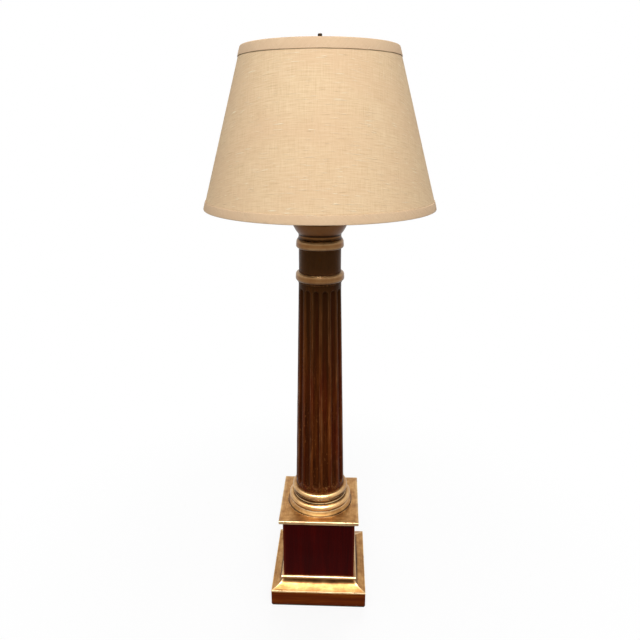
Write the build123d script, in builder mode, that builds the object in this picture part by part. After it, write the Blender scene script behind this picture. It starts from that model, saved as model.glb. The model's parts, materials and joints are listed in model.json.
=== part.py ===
from build123d import *
import os
from math import atan, cos, hypot, radians, sin

# Column table lamp: a square mahogany and gilt plinth, a fluted tapering column with a gilt
# capital, a brass socket with a harp, and a tapered linen shade.
# Millimetres, +Z up. The origin is the centre of the footprint, on the table.
# The front is -Y. The harp stands in the XZ plane and the switch key points to the front.

# ---------------------------------------------------------------- clearances
run_gap = 0.3  # between pieces that move against each other
seam_gap = 0.05  # between layers that are glued, crimped or screwed together
spigot_play = 0.1  # radial play of a wooden spigot in its socket
rod_play = 0.3  # radial play of the bores that the lamp pipe passes through
spindle_play = 0.05  # radial running fit of the switch spindle in its bore

# ---------------------------------------------------------------- plinth
felt_thickness = 1.5
felt_inset = 3.0
base_thickness = 30.1
base_edge_round = 2.5
pocket_roof = 9.1  # wood left over the pocket that takes the bottom nut
pocket_room = 4.0  # from the bottom washer to the pocket's wall
box_width = 133.2
box_height = 140.8
panel_thickness = 9.5
corner_block_side = 16.0
top_block_thickness = 15.0
cap_overhang = 7.1
cap_thickness = 6.4
cap_edge_round = 1.0
ballast_room = 8.0  # from the iron disc to the corner blocks
ballast_thickness = 20.0
ballast_edge_round = 3.0

# Gilt moulding round the foot of the plinth, measured out from the box and up from the base
moulding_width = 22.4
lip_height = 2.0
lip_width = 0.8
thumbnail_top = 7.7
thumbnail_bulge = 0.9
cove_foot_reach = 8.0
cove_head_reach = 3.2
cove_sag = 1.3
cove_top = 16.6
bead_radius = 2.3
bead_reach = 4.7

# ---------------------------------------------------------------- cord outlet
outlet_bore = 3.5
bushing_wall = 1.4
bushing_flange = 2.2
bushing_flange_thickness = 2.0
bushing_length = 16.0

# ---------------------------------------------------------------- column
shaft_length = 399.6
shaft_bottom_radius = 45.4
shaft_top_radius = 36.4
shaft_foot_round = 1.2
shaft_fillet_height = 3.0  # the plain ring under the astragal
shaft_fillet_reach = 1.0
spigot_radius = 16.0
spigot_length = 6.0
spigot_end_gap = 0.4

flute_count = 15
flute_turn = -8.0  # degrees from the front to the nearest flute's middle
flute_radius_ratio = 0.2056  # radius of a flute's section over the shaft's radius there
flute_depth_ratio = 0.087  # depth of a flute over the shaft's radius there
flute_bottom_margin = 11.0
flute_top_margin = 10.0

# Turned base of the column: radii as reaches beyond the shaft's foot
disc_reach = 16.0
disc_edge = 2.2
disc_step = 0.8
cove_reach = 11.6
disc_height = 9.6
lower_torus_reach = 12.9
lower_torus_height = 11.6
scotia_reach = 4.8
scotia_height = 9.8
scotia_sag = 1.0
groove_height = 1.3
groove_depth = 1.4
upper_torus_reach = 6.7
upper_torus_height = 9.6

# Astragal, neck drum and capital: radii as reaches beyond the shaft's top or the drum
astragal_reach = 5.1
astragal_height = 15.6
astragal_foot_round = 4.6
astragal_head_round = 5.2
astragal_taper = 0.3
drum_inset = 0.6
drum_height = 40.7
capital_ring_reach = 4.5
capital_ring_height = 14.4
capital_ring_foot_round = 3.6
capital_ring_head_round = 5.2
capital_ring_head_bulge = 0.45
capital_ring_head_reach = 2.4
capital_ring_taper = 0.5
capital_flare_height = 5.3  # the concave run from the ring's head in to the neck
capital_flare_sag = 0.6
capital_neck_height = 3.6
echinus_reach = 11.5
echinus_height = 21.0
echinus_bulge = 0.9
capital_fillet_reach = 12.9
capital_fillet_height = 2.4
abacus_overhang = 4.0
abacus_thickness = 10.0
abacus_edge_round = 1.5

# ---------------------------------------------------------------- lamp pipe and its fastenings
rod_radius = 4.9
rod_bore = 3.4
rod_end = 2.4  # how far the pipe stands out of the bottom nut
rod_thread_pitch = 1.4
rod_thread_depth = 0.4
rod_thread_turns = 14
nut_across_flats = 15.0
nut_thickness = 5.0
washer_radius = 15.0
washer_thickness = 1.6
lock_nut_thickness = 4.0
vase_cap_radius = 22.0
vase_cap_height = 6.0
vase_cap_wall = 0.8
neck_radius = 7.5
neck_height = 10.0

# ---------------------------------------------------------------- harp
saddle_thickness = 1.5
saddle_width = 12.0
saddle_bend = 3.0
saddle_arm_height = 10.0
tang_width = 4.0
tang_height = 12.0
sleeve_axis_x = 33.0
sleeve_length = 14.0
sleeve_wall = 0.75
sleeve_bead = 0.5
wire_radius = 1.6
harp_height = 218.9  # from the saddle's top to the seat of the shade
harp_half_width = 58.0
harp_leg_height = 43.0
harp_bow_rise = 45.0
harp_crown_drop = 54.0
harp_crown_half = 30.0
harp_leg_radius = 40.0
harp_bow_radius = 80.0
harp_crown_radius = 25.0
stud_radius = 3.1
stud_length = 11.0
stud_thread_pitch = 1.0
stud_thread_depth = 0.3
stud_block_radius = 7.0
stud_block_height = 7.0
stud_block_edge = 0.8
wire_above_block_foot = 2.8

# ---------------------------------------------------------------- socket
socket_hub_radius = 8.0
socket_hub_height = 8.0
socket_cap_radius = 17.0
socket_cap_height = 25.0
socket_cap_foot = 5.0
sheet_wall = 0.6
shell_insertion = 7.0
shell_length = 48.0
shell_lip = 3.5
shell_bead = 0.8
bead_above_cap = 0.4
liner_wall = 0.6
liner_end_gap = 2.0
block_height = 17.0
block_flat_depth = 3.6
terminal_head_radius = 3.0
terminal_head_length = 2.0
terminal_shank_radius = 1.5
terminal_shank_length = 6.0
terminal_slot = 0.8
terminal_height = 7.0
screw_shell_wall = 0.5
screw_shell_hole = 7.0
contact_width = 6.0
contact_thickness = 0.5
contact_foot = 5.5
contact_head = 3.0
contact_rise = 4.0

# ---------------------------------------------------------------- switch key
spindle_radius = 1.8
spindle_inner_end = 6.0  # distance of the spindle's inner end from the lamp's axis
spindle_height = 11.0  # above the foot of the socket block
spindle_in_key = 7.0
key_radius = 4.6
key_length = 12.0
key_gap = 4.0  # from the socket shell to the key
key_rib_count = 14
key_rib_radius = 0.6

# ---------------------------------------------------------------- bulb
thread_pitch = 3.63
thread_turns = 5
thread_depth = 0.43  # half of the height from root to crest
bulb_thread_radius = 12.8
bulb_button_radius = 4.0
bulb_button_height = 1.4
bulb_button_face = 2.6
bulb_insulator_radius = 9.4
bulb_insulator_height = 3.6
bulb_cap_wall = 0.4
bulb_skirt_height = 4.0
bulb_radius = 30.0
bulb_length = 110.0
bulb_glass_wall = 0.8
bulb_shoulder_angle = 42.0
stem_radius = 4.0
stem_flare_height = 8.0
stem_height = 32.0
filament_post_radius = 0.5
filament_radius = 0.9
filament_half_span = 9.0
filament_rise = 20.0
filament_coil_length = 14.0
filament_bend = 3.0

# ---------------------------------------------------------------- finial
finial_foot_radius = 6.5
finial_foot_height = 7.0
finial_foot_edge = 1.0
finial_shoulder_radius = 5.6
finial_belly_radius = 6.4
finial_belly_height = 8.0
finial_waist_radius = 2.2
finial_waist_height = 17.0
finial_waist_run = 1.7
finial_tip_radius = 3.4
finial_tip_height = 7.0
finial_tip_round = 1.6
thread_clearance = 0.2

# ---------------------------------------------------------------- shade
shade_bottom_radius = 189.0  # over the trim
shade_top_radius = 121.0
shade_height = 240.0
shade_drop = 12.5  # from the top rim down to the hub's top
linen_thickness = 0.6
styrene_thickness = 0.7
trim_thickness = 0.7
top_trim_band = 14.5
bottom_trim_band = 13.0
trim_return = 9.0  # how far the trim goes down inside
trim_slit_play = 0.3
ring_wire_radius = 1.5
hub_radius = 14.0
hub_thickness = 1.6
hub_hole_play = 0.5
arm_radius = 1.3
arm_count = 3
arm_turn = 90.0  # degrees from +X to the first arm
arm_bend_radius = 14.0
arm_inner_run = 26.0
arm_outer_run = 24.0
arm_weld = 1.0  # how far an arm's end laps the hub's rim

# ---------------------------------------------------------------- levels, from the table up
base_bottom = felt_thickness
base_top = base_bottom + base_thickness
box_top = base_top + box_height
cap_top = box_top + cap_thickness
column_base_height = disc_height + lower_torus_height + scotia_height + upper_torus_height
column_base_top = cap_top + column_base_height
shaft_top = column_base_top + shaft_length
astragal_top = shaft_top + astragal_height
drum_top = astragal_top + drum_height
ring_top = drum_top + capital_ring_height
flare_top = ring_top + capital_flare_height
echinus_bottom = flare_top + capital_neck_height
echinus_top = echinus_bottom + echinus_height
capital_top = echinus_top + capital_fillet_height
abacus_top = capital_top + abacus_thickness
neck_bottom = abacus_top + vase_cap_height
saddle_bottom = neck_bottom + neck_height
saddle_top = saddle_bottom + saddle_thickness
saddle_shoulder = saddle_top + saddle_arm_height
socket_bottom = saddle_top + lock_nut_thickness
socket_cap_top = socket_bottom + socket_cap_height
shell_bottom = socket_cap_top - shell_insertion
shell_top = shell_bottom + shell_length
block_bottom = shell_bottom + sheet_wall
block_top = block_bottom + block_height
spindle_level = block_bottom + spindle_height
bulb_bottom = block_top + contact_rise
insulator_bottom = bulb_bottom + bulb_button_height
thread_bottom = insulator_bottom + bulb_insulator_height
thread_top = thread_bottom + thread_turns * thread_pitch
bulb_cap_top = thread_top + bulb_skirt_height
bulb_top = bulb_bottom + bulb_length
harp_seat = saddle_top + harp_height
harp_wire_top = harp_seat - stud_block_height + wire_above_block_foot
hub_top = harp_seat + hub_thickness
shade_top = hub_top + shade_drop
shade_bottom = shade_top - shade_height
finial_bottom = hub_top + run_gap
finial_foot_top = finial_bottom + finial_foot_height
pocket_top = base_top - pocket_roof
outlet_level = base_bottom + base_thickness / 2
rod_bottom = pocket_top - washer_thickness - nut_thickness - rod_end
rod_top = socket_bottom + socket_hub_height

# ---------------------------------------------------------------- radii and widths that follow
base_width = box_width + 2 * moulding_width
box_half = box_width / 2
box_inner_half = box_half - panel_thickness
cap_width = box_width + 2 * cap_overhang
rod_hole = rod_radius + rod_play
nut_hole = rod_radius + seam_gap
pocket_radius = washer_radius + pocket_room
drum_radius = shaft_top_radius - drum_inset
wire_and_tang_half = wire_radius + (saddle_thickness + seam_gap) / 2
tang_x = sleeve_axis_x - wire_and_tang_half + saddle_thickness / 2
wire_x = sleeve_axis_x + wire_and_tang_half - wire_radius
sleeve_bore = hypot(wire_and_tang_half, tang_width / 2) + run_gap
shell_radius = socket_cap_radius - sheet_wall - seam_gap
liner_radius = shell_radius - sheet_wall - seam_gap
block_radius = liner_radius - liner_wall - seam_gap
screw_shell_radius = bulb_thread_radius + run_gap
bulb_neck_radius = bulb_thread_radius - bulb_cap_wall - thread_depth - seam_gap
stem_flare_radius = bulb_neck_radius - bulb_glass_wall - seam_gap
key_start = shell_radius + shell_bead + key_gap

from_below = (Align.CENTER, Align.CENTER, Align.MIN)

os.makedirs("parts", exist_ok=True)


# ================================================================ helpers
def save(builder, name):
    """Labels a finished piece and writes it as one STEP file."""
    builder.part.label = name
    export_step(builder.part, f"parts/{name}.step")


def bore(radius, bottom, top):
    """Cuts a round hole on the lamp's axis between two levels."""
    with Locations((0, 0, bottom)):
        Cylinder(radius, top - bottom, align=from_below, mode=Mode.SUBTRACT)


def spigot(level):
    """Adds the round spigot that reaches down into the piece below."""
    with Locations((0, 0, level - spigot_length)):
        Cylinder(spigot_radius, spigot_length, align=from_below)


def spigot_socket(level):
    """Cuts the socket for the spigot of the piece that stands on this one."""
    bore(spigot_radius + spigot_play, level - spigot_length - spigot_end_gap, level)


def nut_outline(bottom):
    """Outline of a hexagonal nut on the lamp pipe."""
    with BuildSketch(Plane.XY.offset(bottom)) as outline:
        RegularPolygon(nut_across_flats / 2, 6, major_radius=False)
        Circle(nut_hole, mode=Mode.SUBTRACT)
    return outline.sketch


def thread_grooves(radius, depth, pitch, start, turns):
    """Sections of the V grooves of a thread, which run round the rod as closed rings."""
    with BuildSketch(Plane.XZ) as grooves:
        for turn in range(turns):
            middle = start + (turn + 0.5) * pitch
            with BuildLine():
                Polyline(
                    (radius + seam_gap, middle - 0.45 * pitch),
                    (radius - depth, middle),
                    (radius + seam_gap, middle + 0.45 * pitch),
                    close=True,
                )
            make_face()
    return grooves.sketch


def bulb_thread_wave(radius, first_turn=0):
    """Draws the rounded rings of a lamp base's thread, from one turn up to its head."""
    for turn in range(first_turn, thread_turns):
        start = thread_bottom + turn * thread_pitch
        middle = start + thread_pitch / 2
        crest = (radius + thread_depth, start + thread_pitch / 4)
        root = (radius - thread_depth, middle + thread_pitch / 4)
        ThreePointArc((radius, start), crest, (radius, middle))
        ThreePointArc((radius, middle), root, (radius, start + thread_pitch))


def turned_copy(piece, turn, name):
    """Writes a copy of a finished piece, turned about the lamp's axis."""
    with BuildPart() as copy:
        add(piece.part, rotation=(0, 0, turn))
    save(copy, name)


# ================================================================ plinth
with BuildPart() as felt_pad:
    with BuildSketch():
        felt_width = base_width - 2 * felt_inset
        RectangleRounded(felt_width, felt_width, felt_inset)
    extrude(amount=felt_thickness)
save(felt_pad, "felt_pad")

with BuildPart() as base_slab:
    with BuildSketch(Plane.XY.offset(base_bottom)):
        Rectangle(base_width, base_width)
    extrude(amount=base_thickness)
    fillet(base_slab.edges().filter_by(Axis.Z), base_edge_round / 2)
    fillet(base_slab.faces().sort_by(Axis.Z)[0].edges(), base_edge_round)
    bore(pocket_radius, base_bottom, pocket_top)
    bore(rod_hole, pocket_top, base_top)
    with BuildSketch(Plane.XZ.offset(-base_width / 2)):
        with Locations((0, outlet_level)):
            Circle(outlet_bore + bushing_wall + seam_gap)
    extrude(amount=base_width / 2, mode=Mode.SUBTRACT)
save(base_slab, "base_slab")

with BuildPart() as cord_bushing:
    with BuildSketch(Plane.XZ.offset(-base_width / 2)):
        with Locations((0, outlet_level)):
            Circle(outlet_bore + bushing_wall)
    extrude(amount=bushing_length)
    with BuildSketch(Plane.XZ.offset(-base_width / 2)):
        with Locations((0, outlet_level)):
            Circle(outlet_bore + bushing_wall + bushing_flange)
    extrude(amount=-bushing_flange_thickness)
    fillet(cord_bushing.faces().sort_by(Axis.Y)[-1].edges(), bushing_flange_thickness / 2)
    with BuildSketch(Plane.XZ.offset(-base_width / 2 - bushing_flange_thickness)):
        with Locations((0, outlet_level)):
            Circle(outlet_bore)
    extrude(amount=bushing_length + bushing_flange_thickness, mode=Mode.SUBTRACT)
save(cord_bushing, "cord_bushing")

# Four boards, mitred at the corners, make the hollow box of the plinth.
with BuildPart() as front_panel:
    with BuildSketch(Plane.XY.offset(base_top)):
        with BuildLine():
            Polyline(
                (-box_half, -box_half),
                (box_half, -box_half),
                (box_inner_half, -box_inner_half),
                (-box_inner_half, -box_inner_half),
                close=True,
            )
        make_face()
    extrude(amount=box_height)

# The gilt moulding, also mitred: a lip, a thumbnail, a cove and a bead on top.
with BuildPart() as front_moulding:
    moulding_outer = box_half + moulding_width
    lip_top = base_top + lip_height
    thumbnail_foot = moulding_outer - lip_width
    thumbnail_head = box_half + cove_foot_reach
    thumbnail_z = base_top + thumbnail_top
    cove_head = box_half + cove_head_reach
    bead_foot = base_top + cove_top
    bead_root = box_half + bead_reach - bead_radius
    bead_head = bead_foot + 2 * bead_radius
    with BuildSketch(Plane.YZ.offset(-moulding_outer)):
        with BuildLine():
            Polyline(
                (-box_half, bead_head),
                (-box_half, base_top),
                (-moulding_outer, base_top),
                (-moulding_outer, lip_top),
                (-thumbnail_foot, lip_top),
            )
            ThreePointArc(
                (-thumbnail_foot, lip_top),
                (-(thumbnail_foot + thumbnail_head) / 2, (lip_top + thumbnail_z) / 2 + thumbnail_bulge),
                (-thumbnail_head, thumbnail_z),
            )
            ThreePointArc(
                (-thumbnail_head, thumbnail_z),
                (-(thumbnail_head + cove_head) / 2 + cove_sag, (thumbnail_z + bead_foot) / 2 - cove_sag),
                (-cove_head, bead_foot),
            )
            Line((-cove_head, bead_foot), (-bead_root, bead_foot))
            ThreePointArc(
                (-bead_root, bead_foot),
                (-bead_root - bead_radius, bead_foot + bead_radius),
                (-bead_root, bead_head),
            )
            Line((-bead_root, bead_head), (-box_half, bead_head))
        make_face()
    extrude(amount=2 * moulding_outer)
    with BuildSketch(Plane.XY.offset(base_top)):
        with BuildLine():
            Polyline(
                (0, 0),
                (-moulding_outer, -moulding_outer),
                (moulding_outer, -moulding_outer),
                close=True,
            )
        make_face()
    extrude(amount=bead_head - base_top, mode=Mode.INTERSECT)

for side, turn in {"front": 0, "right": 90, "back": 180, "left": 270}.items():
    turned_copy(front_panel, turn, f"plinth_panel_{side}")
    turned_copy(front_moulding, turn, f"base_moulding_{side}")

with BuildPart() as corner_blocks:
    block_place = box_inner_half - corner_block_side / 2
    with BuildSketch(Plane.XY.offset(base_top)):
        with GridLocations(2 * block_place, 2 * block_place, 2, 2):
            Rectangle(corner_block_side, corner_block_side)
    extrude(amount=box_height - top_block_thickness)
save(corner_blocks, "corner_blocks")

with BuildPart() as plinth_top_block:
    with BuildSketch(Plane.XY.offset(box_top - top_block_thickness)):
        Rectangle(2 * box_inner_half, 2 * box_inner_half)
        Circle(rod_hole, mode=Mode.SUBTRACT)
    extrude(amount=top_block_thickness)
save(plinth_top_block, "plinth_top_block")

with BuildPart() as plinth_cap:
    with BuildSketch(Plane.XY.offset(box_top)):
        Rectangle(cap_width, cap_width)
    extrude(amount=cap_thickness)
    fillet(plinth_cap.edges(), min(cap_edge_round, 0.4 * cap_thickness))
    bore(rod_hole, box_top, cap_top)
save(plinth_cap, "plinth_cap")

with BuildPart() as ballast_weight:
    ballast_corner = box_inner_half - corner_block_side
    ballast_radius = hypot(ballast_corner, ballast_corner) - ballast_room
    with Locations((0, 0, base_top)):
        Cylinder(ballast_radius, ballast_thickness, align=from_below)
    fillet(ballast_weight.edges(), min(ballast_edge_round, 0.4 * ballast_thickness))
    bore(rod_hole, base_top, base_top + ballast_thickness)
save(ballast_weight, "ballast_weight")

# ================================================================ column
with BuildPart() as column_base:
    disc_radius = shaft_bottom_radius + disc_reach
    cove_x = shaft_bottom_radius + cove_reach
    lower_torus_r = lower_torus_height / 2
    lower_torus_x = shaft_bottom_radius + lower_torus_reach - lower_torus_r
    upper_torus_r = upper_torus_height / 2
    upper_torus_x = shaft_bottom_radius + upper_torus_reach - upper_torus_r
    scotia_x = shaft_bottom_radius + scotia_reach
    groove_x = scotia_x - groove_depth
    edge_z = cap_top + disc_edge
    disc_z = cap_top + disc_height
    scotia_z = disc_z + lower_torus_height
    scotia_end_z = scotia_z + scotia_height
    with BuildSketch(Plane.XZ):
        with BuildLine():
            Polyline(
                (rod_hole, column_base_top),
                (rod_hole, cap_top),
                (disc_radius, cap_top),
                (disc_radius, edge_z),
                (disc_radius - disc_step, edge_z),
            )
            ThreePointArc(
                (disc_radius - disc_step, edge_z),
                (cove_x + 0.25 * (disc_reach - cove_reach), (edge_z + disc_z) / 2),
                (cove_x, disc_z),
            )
            Line((cove_x, disc_z), (lower_torus_x, disc_z))
            ThreePointArc(
                (lower_torus_x, disc_z),
                (lower_torus_x + lower_torus_r, disc_z + lower_torus_r),
                (lower_torus_x, scotia_z),
            )
            Polyline(
                (lower_torus_x, scotia_z),
                (groove_x, scotia_z),
                (groove_x, scotia_z + groove_height),
                (scotia_x, scotia_z + groove_height),
            )
            ThreePointArc(
                (scotia_x, scotia_z + groove_height),
                (scotia_x - scotia_sag, (scotia_z + scotia_end_z) / 2),
                (scotia_x, scotia_end_z - groove_height),
            )
            Polyline(
                (scotia_x, scotia_end_z - groove_height),
                (groove_x, scotia_end_z - groove_height),
                (groove_x, scotia_end_z),
                (upper_torus_x, scotia_end_z),
            )
            ThreePointArc(
                (upper_torus_x, scotia_end_z),
                (upper_torus_x + upper_torus_r, scotia_end_z + upper_torus_r),
                (upper_torus_x, column_base_top),
            )
            Line((upper_torus_x, column_base_top), (rod_hole, column_base_top))
        make_face()
    revolve(axis=Axis.Z)
    spigot_socket(column_base_top)
save(column_base, "column_base")


def shaft_radius_at(height):
    """Radius of the unfluted shaft at a height above its foot."""
    share = height / shaft_length
    return shaft_bottom_radius + (shaft_top_radius - shaft_bottom_radius) * share


# A flute is cut by a long tapered finger whose section stays in proportion to the shaft.
with BuildPart() as flute_cutter:
    centre_ratio = 1 - flute_depth_ratio + flute_radius_ratio
    low_r = flute_radius_ratio * shaft_radius_at(flute_bottom_margin)
    high_r = flute_radius_ratio * shaft_radius_at(shaft_length - flute_top_margin)
    low_z = flute_bottom_margin + low_r
    high_z = shaft_length - flute_top_margin - high_r
    low_centre = Vector(centre_ratio * shaft_radius_at(low_z), 0, column_base_top + low_z)
    high_centre = Vector(centre_ratio * shaft_radius_at(high_z), 0, column_base_top + high_z)
    finger = high_centre - low_centre
    bend = sin(radians(45))
    with BuildSketch(Plane(origin=low_centre, x_dir=(0, 1, 0), z_dir=Vector(0, 1, 0).cross(finger))):
        with BuildLine():
            ThreePointArc((0, -low_r), (low_r * bend, -low_r * bend), (low_r, 0))
            Line((low_r, 0), (high_r, finger.length))
            ThreePointArc(
                (high_r, finger.length),
                (high_r * bend, finger.length + high_r * bend),
                (0, finger.length + high_r),
            )
            Line((0, finger.length + high_r), (0, -low_r))
        make_face()
    revolve(axis=Axis(low_centre, finger))

with BuildPart() as column_shaft:
    fillet_x = shaft_top_radius + shaft_fillet_reach
    fillet_z = shaft_top - shaft_fillet_height
    with BuildSketch(Plane.XZ):
        with BuildLine():
            Polyline(
                (0, column_base_top),
                (shaft_bottom_radius, column_base_top),
                (shaft_radius_at(shaft_length - shaft_fillet_height), fillet_z),
                (fillet_x, fillet_z),
                (fillet_x, shaft_top),
                (0, shaft_top),
                close=True,
            )
        make_face()
    revolve(axis=Axis.Z)
    fillet(column_shaft.faces().sort_by(Axis.Z)[0].edges(), shaft_foot_round)
    with PolarLocations(0, flute_count, start_angle=flute_turn - 90):
        add(flute_cutter.part, mode=Mode.SUBTRACT)
    spigot(column_base_top)
    spigot_socket(shaft_top)
    bore(rod_hole, column_base_top - spigot_length, shaft_top)
save(column_shaft, "column_shaft")

with BuildPart() as astragal:
    astragal_x = shaft_top_radius + astragal_reach
    head_x = astragal_x - astragal_taper
    head_z = astragal_top - astragal_head_round
    foot_z = shaft_top + astragal_foot_round
    foot_corner = (1 - sin(radians(45))) * astragal_foot_round
    head_corner = (1 - sin(radians(45))) * astragal_head_round
    with BuildSketch(Plane.XZ):
        with BuildLine():
            Line((0, astragal_top), (0, shaft_top))
            Line((0, shaft_top), (astragal_x - astragal_foot_round, shaft_top))
            ThreePointArc(
                (astragal_x - astragal_foot_round, shaft_top),
                (astragal_x - foot_corner, shaft_top + foot_corner),
                (astragal_x, foot_z),
            )
            Line((astragal_x, foot_z), (head_x, head_z))
            ThreePointArc(
                (head_x, head_z),
                (head_x - head_corner, astragal_top - head_corner),
                (head_x - astragal_head_round, astragal_top),
            )
            Line((head_x - astragal_head_round, astragal_top), (0, astragal_top))
        make_face()
    revolve(axis=Axis.Z)
    spigot(shaft_top)
    spigot_socket(astragal_top)
    bore(rod_hole, shaft_top - spigot_length, astragal_top)
save(astragal, "astragal")

with BuildPart() as neck_drum:
    with Locations((0, 0, astragal_top)):
        Cylinder(drum_radius, drum_height, align=from_below)
    spigot(astragal_top)
    spigot_socket(drum_top)
    bore(rod_hole, astragal_top - spigot_length, drum_top)
save(neck_drum, "neck_drum")

with BuildPart() as capital:
    ring_x = drum_radius + capital_ring_reach
    ring_foot_x = ring_x - capital_ring_foot_round
    ring_foot_z = drum_top + capital_ring_foot_round
    ring_head_x = ring_x - capital_ring_taper
    ring_head_z = ring_top - capital_ring_head_round
    ring_end_x = drum_radius + capital_ring_head_reach
    ring_corner = (1 - sin(radians(45))) * capital_ring_foot_round
    echinus_x = drum_radius + echinus_reach
    capital_fillet_x = drum_radius + capital_fillet_reach
    with BuildSketch(Plane.XZ):
        with BuildLine():
            Line((0, capital_top), (0, drum_top))
            Line((0, drum_top), (ring_foot_x, drum_top))
            ThreePointArc(
                (ring_foot_x, drum_top),
                (ring_x - ring_corner, drum_top + ring_corner),
                (ring_x, ring_foot_z),
            )
            Line((ring_x, ring_foot_z), (ring_head_x, ring_head_z))
            ThreePointArc(
                (ring_head_x, ring_head_z),
                ((ring_head_x + ring_end_x) / 2 + capital_ring_head_bulge, (ring_head_z + ring_top) / 2),
                (ring_end_x, ring_top),
            )
            ThreePointArc(
                (ring_end_x, ring_top),
                ((ring_end_x + drum_radius) / 2 - capital_flare_sag, (ring_top + flare_top) / 2),
                (drum_radius, flare_top),
            )
            Line((drum_radius, flare_top), (drum_radius, echinus_bottom))
            ThreePointArc(
                (drum_radius, echinus_bottom),
                (
                    (drum_radius + echinus_x) / 2 + echinus_bulge,
                    (echinus_bottom + echinus_top) / 2 - echinus_bulge,
                ),
                (echinus_x, echinus_top),
            )
            Polyline(
                (echinus_x, echinus_top),
                (capital_fillet_x, echinus_top),
                (capital_fillet_x, capital_top),
                (0, capital_top),
            )
        make_face()
    revolve(axis=Axis.Z)
    spigot(drum_top)
    bore(rod_hole, drum_top - spigot_length, capital_top)
save(capital, "capital")

with BuildPart() as abacus:
    abacus_width = 2 * (drum_radius + capital_fillet_reach + abacus_overhang)
    with BuildSketch(Plane.XY.offset(capital_top)):
        Rectangle(abacus_width, abacus_width)
    extrude(amount=abacus_thickness)
    fillet(abacus.edges(), min(abacus_edge_round, 0.4 * abacus_thickness))
    bore(rod_hole, capital_top, abacus_top)
save(abacus, "abacus")

# ================================================================ lamp pipe and its fastenings
with BuildPart() as threaded_rod:
    with Locations((0, 0, rod_bottom)):
        Cylinder(rod_radius, rod_top - rod_bottom, align=from_below)
    thread_run = rod_thread_turns * rod_thread_pitch
    for start in (rod_bottom, rod_top - thread_run):
        grooves = thread_grooves(rod_radius, rod_thread_depth, rod_thread_pitch, start, rod_thread_turns)
        revolve(grooves, axis=Axis.Z, mode=Mode.SUBTRACT)
    bore(rod_bore, rod_bottom, rod_top)
save(threaded_rod, "threaded_rod")

with BuildPart() as bottom_washer:
    with Locations((0, 0, pocket_top - washer_thickness)):
        Cylinder(washer_radius, washer_thickness, align=from_below)
    bore(rod_hole, pocket_top - washer_thickness, pocket_top)
save(bottom_washer, "bottom_washer")

with BuildPart() as bottom_nut:
    extrude(nut_outline(pocket_top - washer_thickness - nut_thickness), amount=nut_thickness)
save(bottom_nut, "bottom_nut")

with BuildPart() as ballast_nut:
    extrude(nut_outline(base_top + ballast_thickness), amount=nut_thickness)
save(ballast_nut, "ballast_nut")

with BuildPart() as lock_nut:
    extrude(nut_outline(saddle_top), amount=lock_nut_thickness)
save(lock_nut, "lock_nut")

with BuildPart() as vase_cap:
    crown = neck_bottom - vase_cap_wall
    inner_rim = vase_cap_radius - vase_cap_wall
    with BuildSketch(Plane.XZ):
        with BuildLine():
            Line((rod_hole, crown), (rod_hole, neck_bottom))
            Line((rod_hole, neck_bottom), (neck_radius, neck_bottom))
            TangentArc((neck_radius, neck_bottom), (vase_cap_radius, abacus_top), tangent=(1, 0))
            Line((vase_cap_radius, abacus_top), (inner_rim, abacus_top))
            TangentArc((neck_radius, crown), (inner_rim, abacus_top), tangent=(1, 0))
            Line((neck_radius, crown), (rod_hole, crown))
        make_face()
    revolve(axis=Axis.Z)
save(vase_cap, "vase_cap")

with BuildPart() as neck_tube:
    with Locations((0, 0, neck_bottom)):
        Cylinder(neck_radius, neck_height, align=from_below)
    bore(rod_hole, neck_bottom, saddle_bottom)
save(neck_tube, "neck_tube")

# ================================================================ harp
with BuildPart() as harp_saddle:
    strap_top = saddle_shoulder + tang_height
    strap_z = saddle_bottom + saddle_thickness / 2
    with BuildLine(Plane.XZ) as strap_line:
        FilletPolyline(
            (-tang_x, strap_top),
            (-tang_x, strap_z),
            (tang_x, strap_z),
            (tang_x, strap_top),
            radius=saddle_bend,
        )
    strap_start = Plane(origin=strap_line.line @ 0, x_dir=(0, 1, 0), z_dir=strap_line.line % 0)
    with BuildSketch(strap_start):
        Rectangle(saddle_width, saddle_thickness)
    sweep(path=strap_line.line)
    with BuildSketch(Plane.XY.offset(saddle_shoulder)):
        with GridLocations(2 * tang_x, saddle_width + tang_width, 2, 2):
            Rectangle(saddle_width, saddle_width)
    extrude(amount=tang_height, mode=Mode.SUBTRACT)
    bore(rod_hole, saddle_bottom, saddle_top)
save(harp_saddle, "harp_saddle")

with BuildPart() as harp_wire:
    leg_z = saddle_top + harp_leg_height
    bow_z = leg_z + harp_bow_rise
    crown_z = harp_wire_top - harp_crown_drop
    half_radii = [harp_leg_radius, harp_bow_radius, harp_bow_radius, harp_crown_radius]
    with BuildLine(Plane.XZ) as wire_line:
        FilletPolyline(
            (-wire_x, saddle_shoulder),
            (-wire_x, leg_z),
            (-harp_half_width, bow_z),
            (-harp_half_width, crown_z),
            (-harp_crown_half, harp_wire_top),
            (harp_crown_half, harp_wire_top),
            (harp_half_width, crown_z),
            (harp_half_width, bow_z),
            (wire_x, leg_z),
            (wire_x, saddle_shoulder),
            radius=half_radii + half_radii[::-1],
        )
    with BuildSketch(Plane(origin=wire_line.line @ 0, z_dir=wire_line.line % 0)):
        Circle(wire_radius)
    sweep(path=wire_line.line)
save(harp_wire, "harp_wire")

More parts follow.
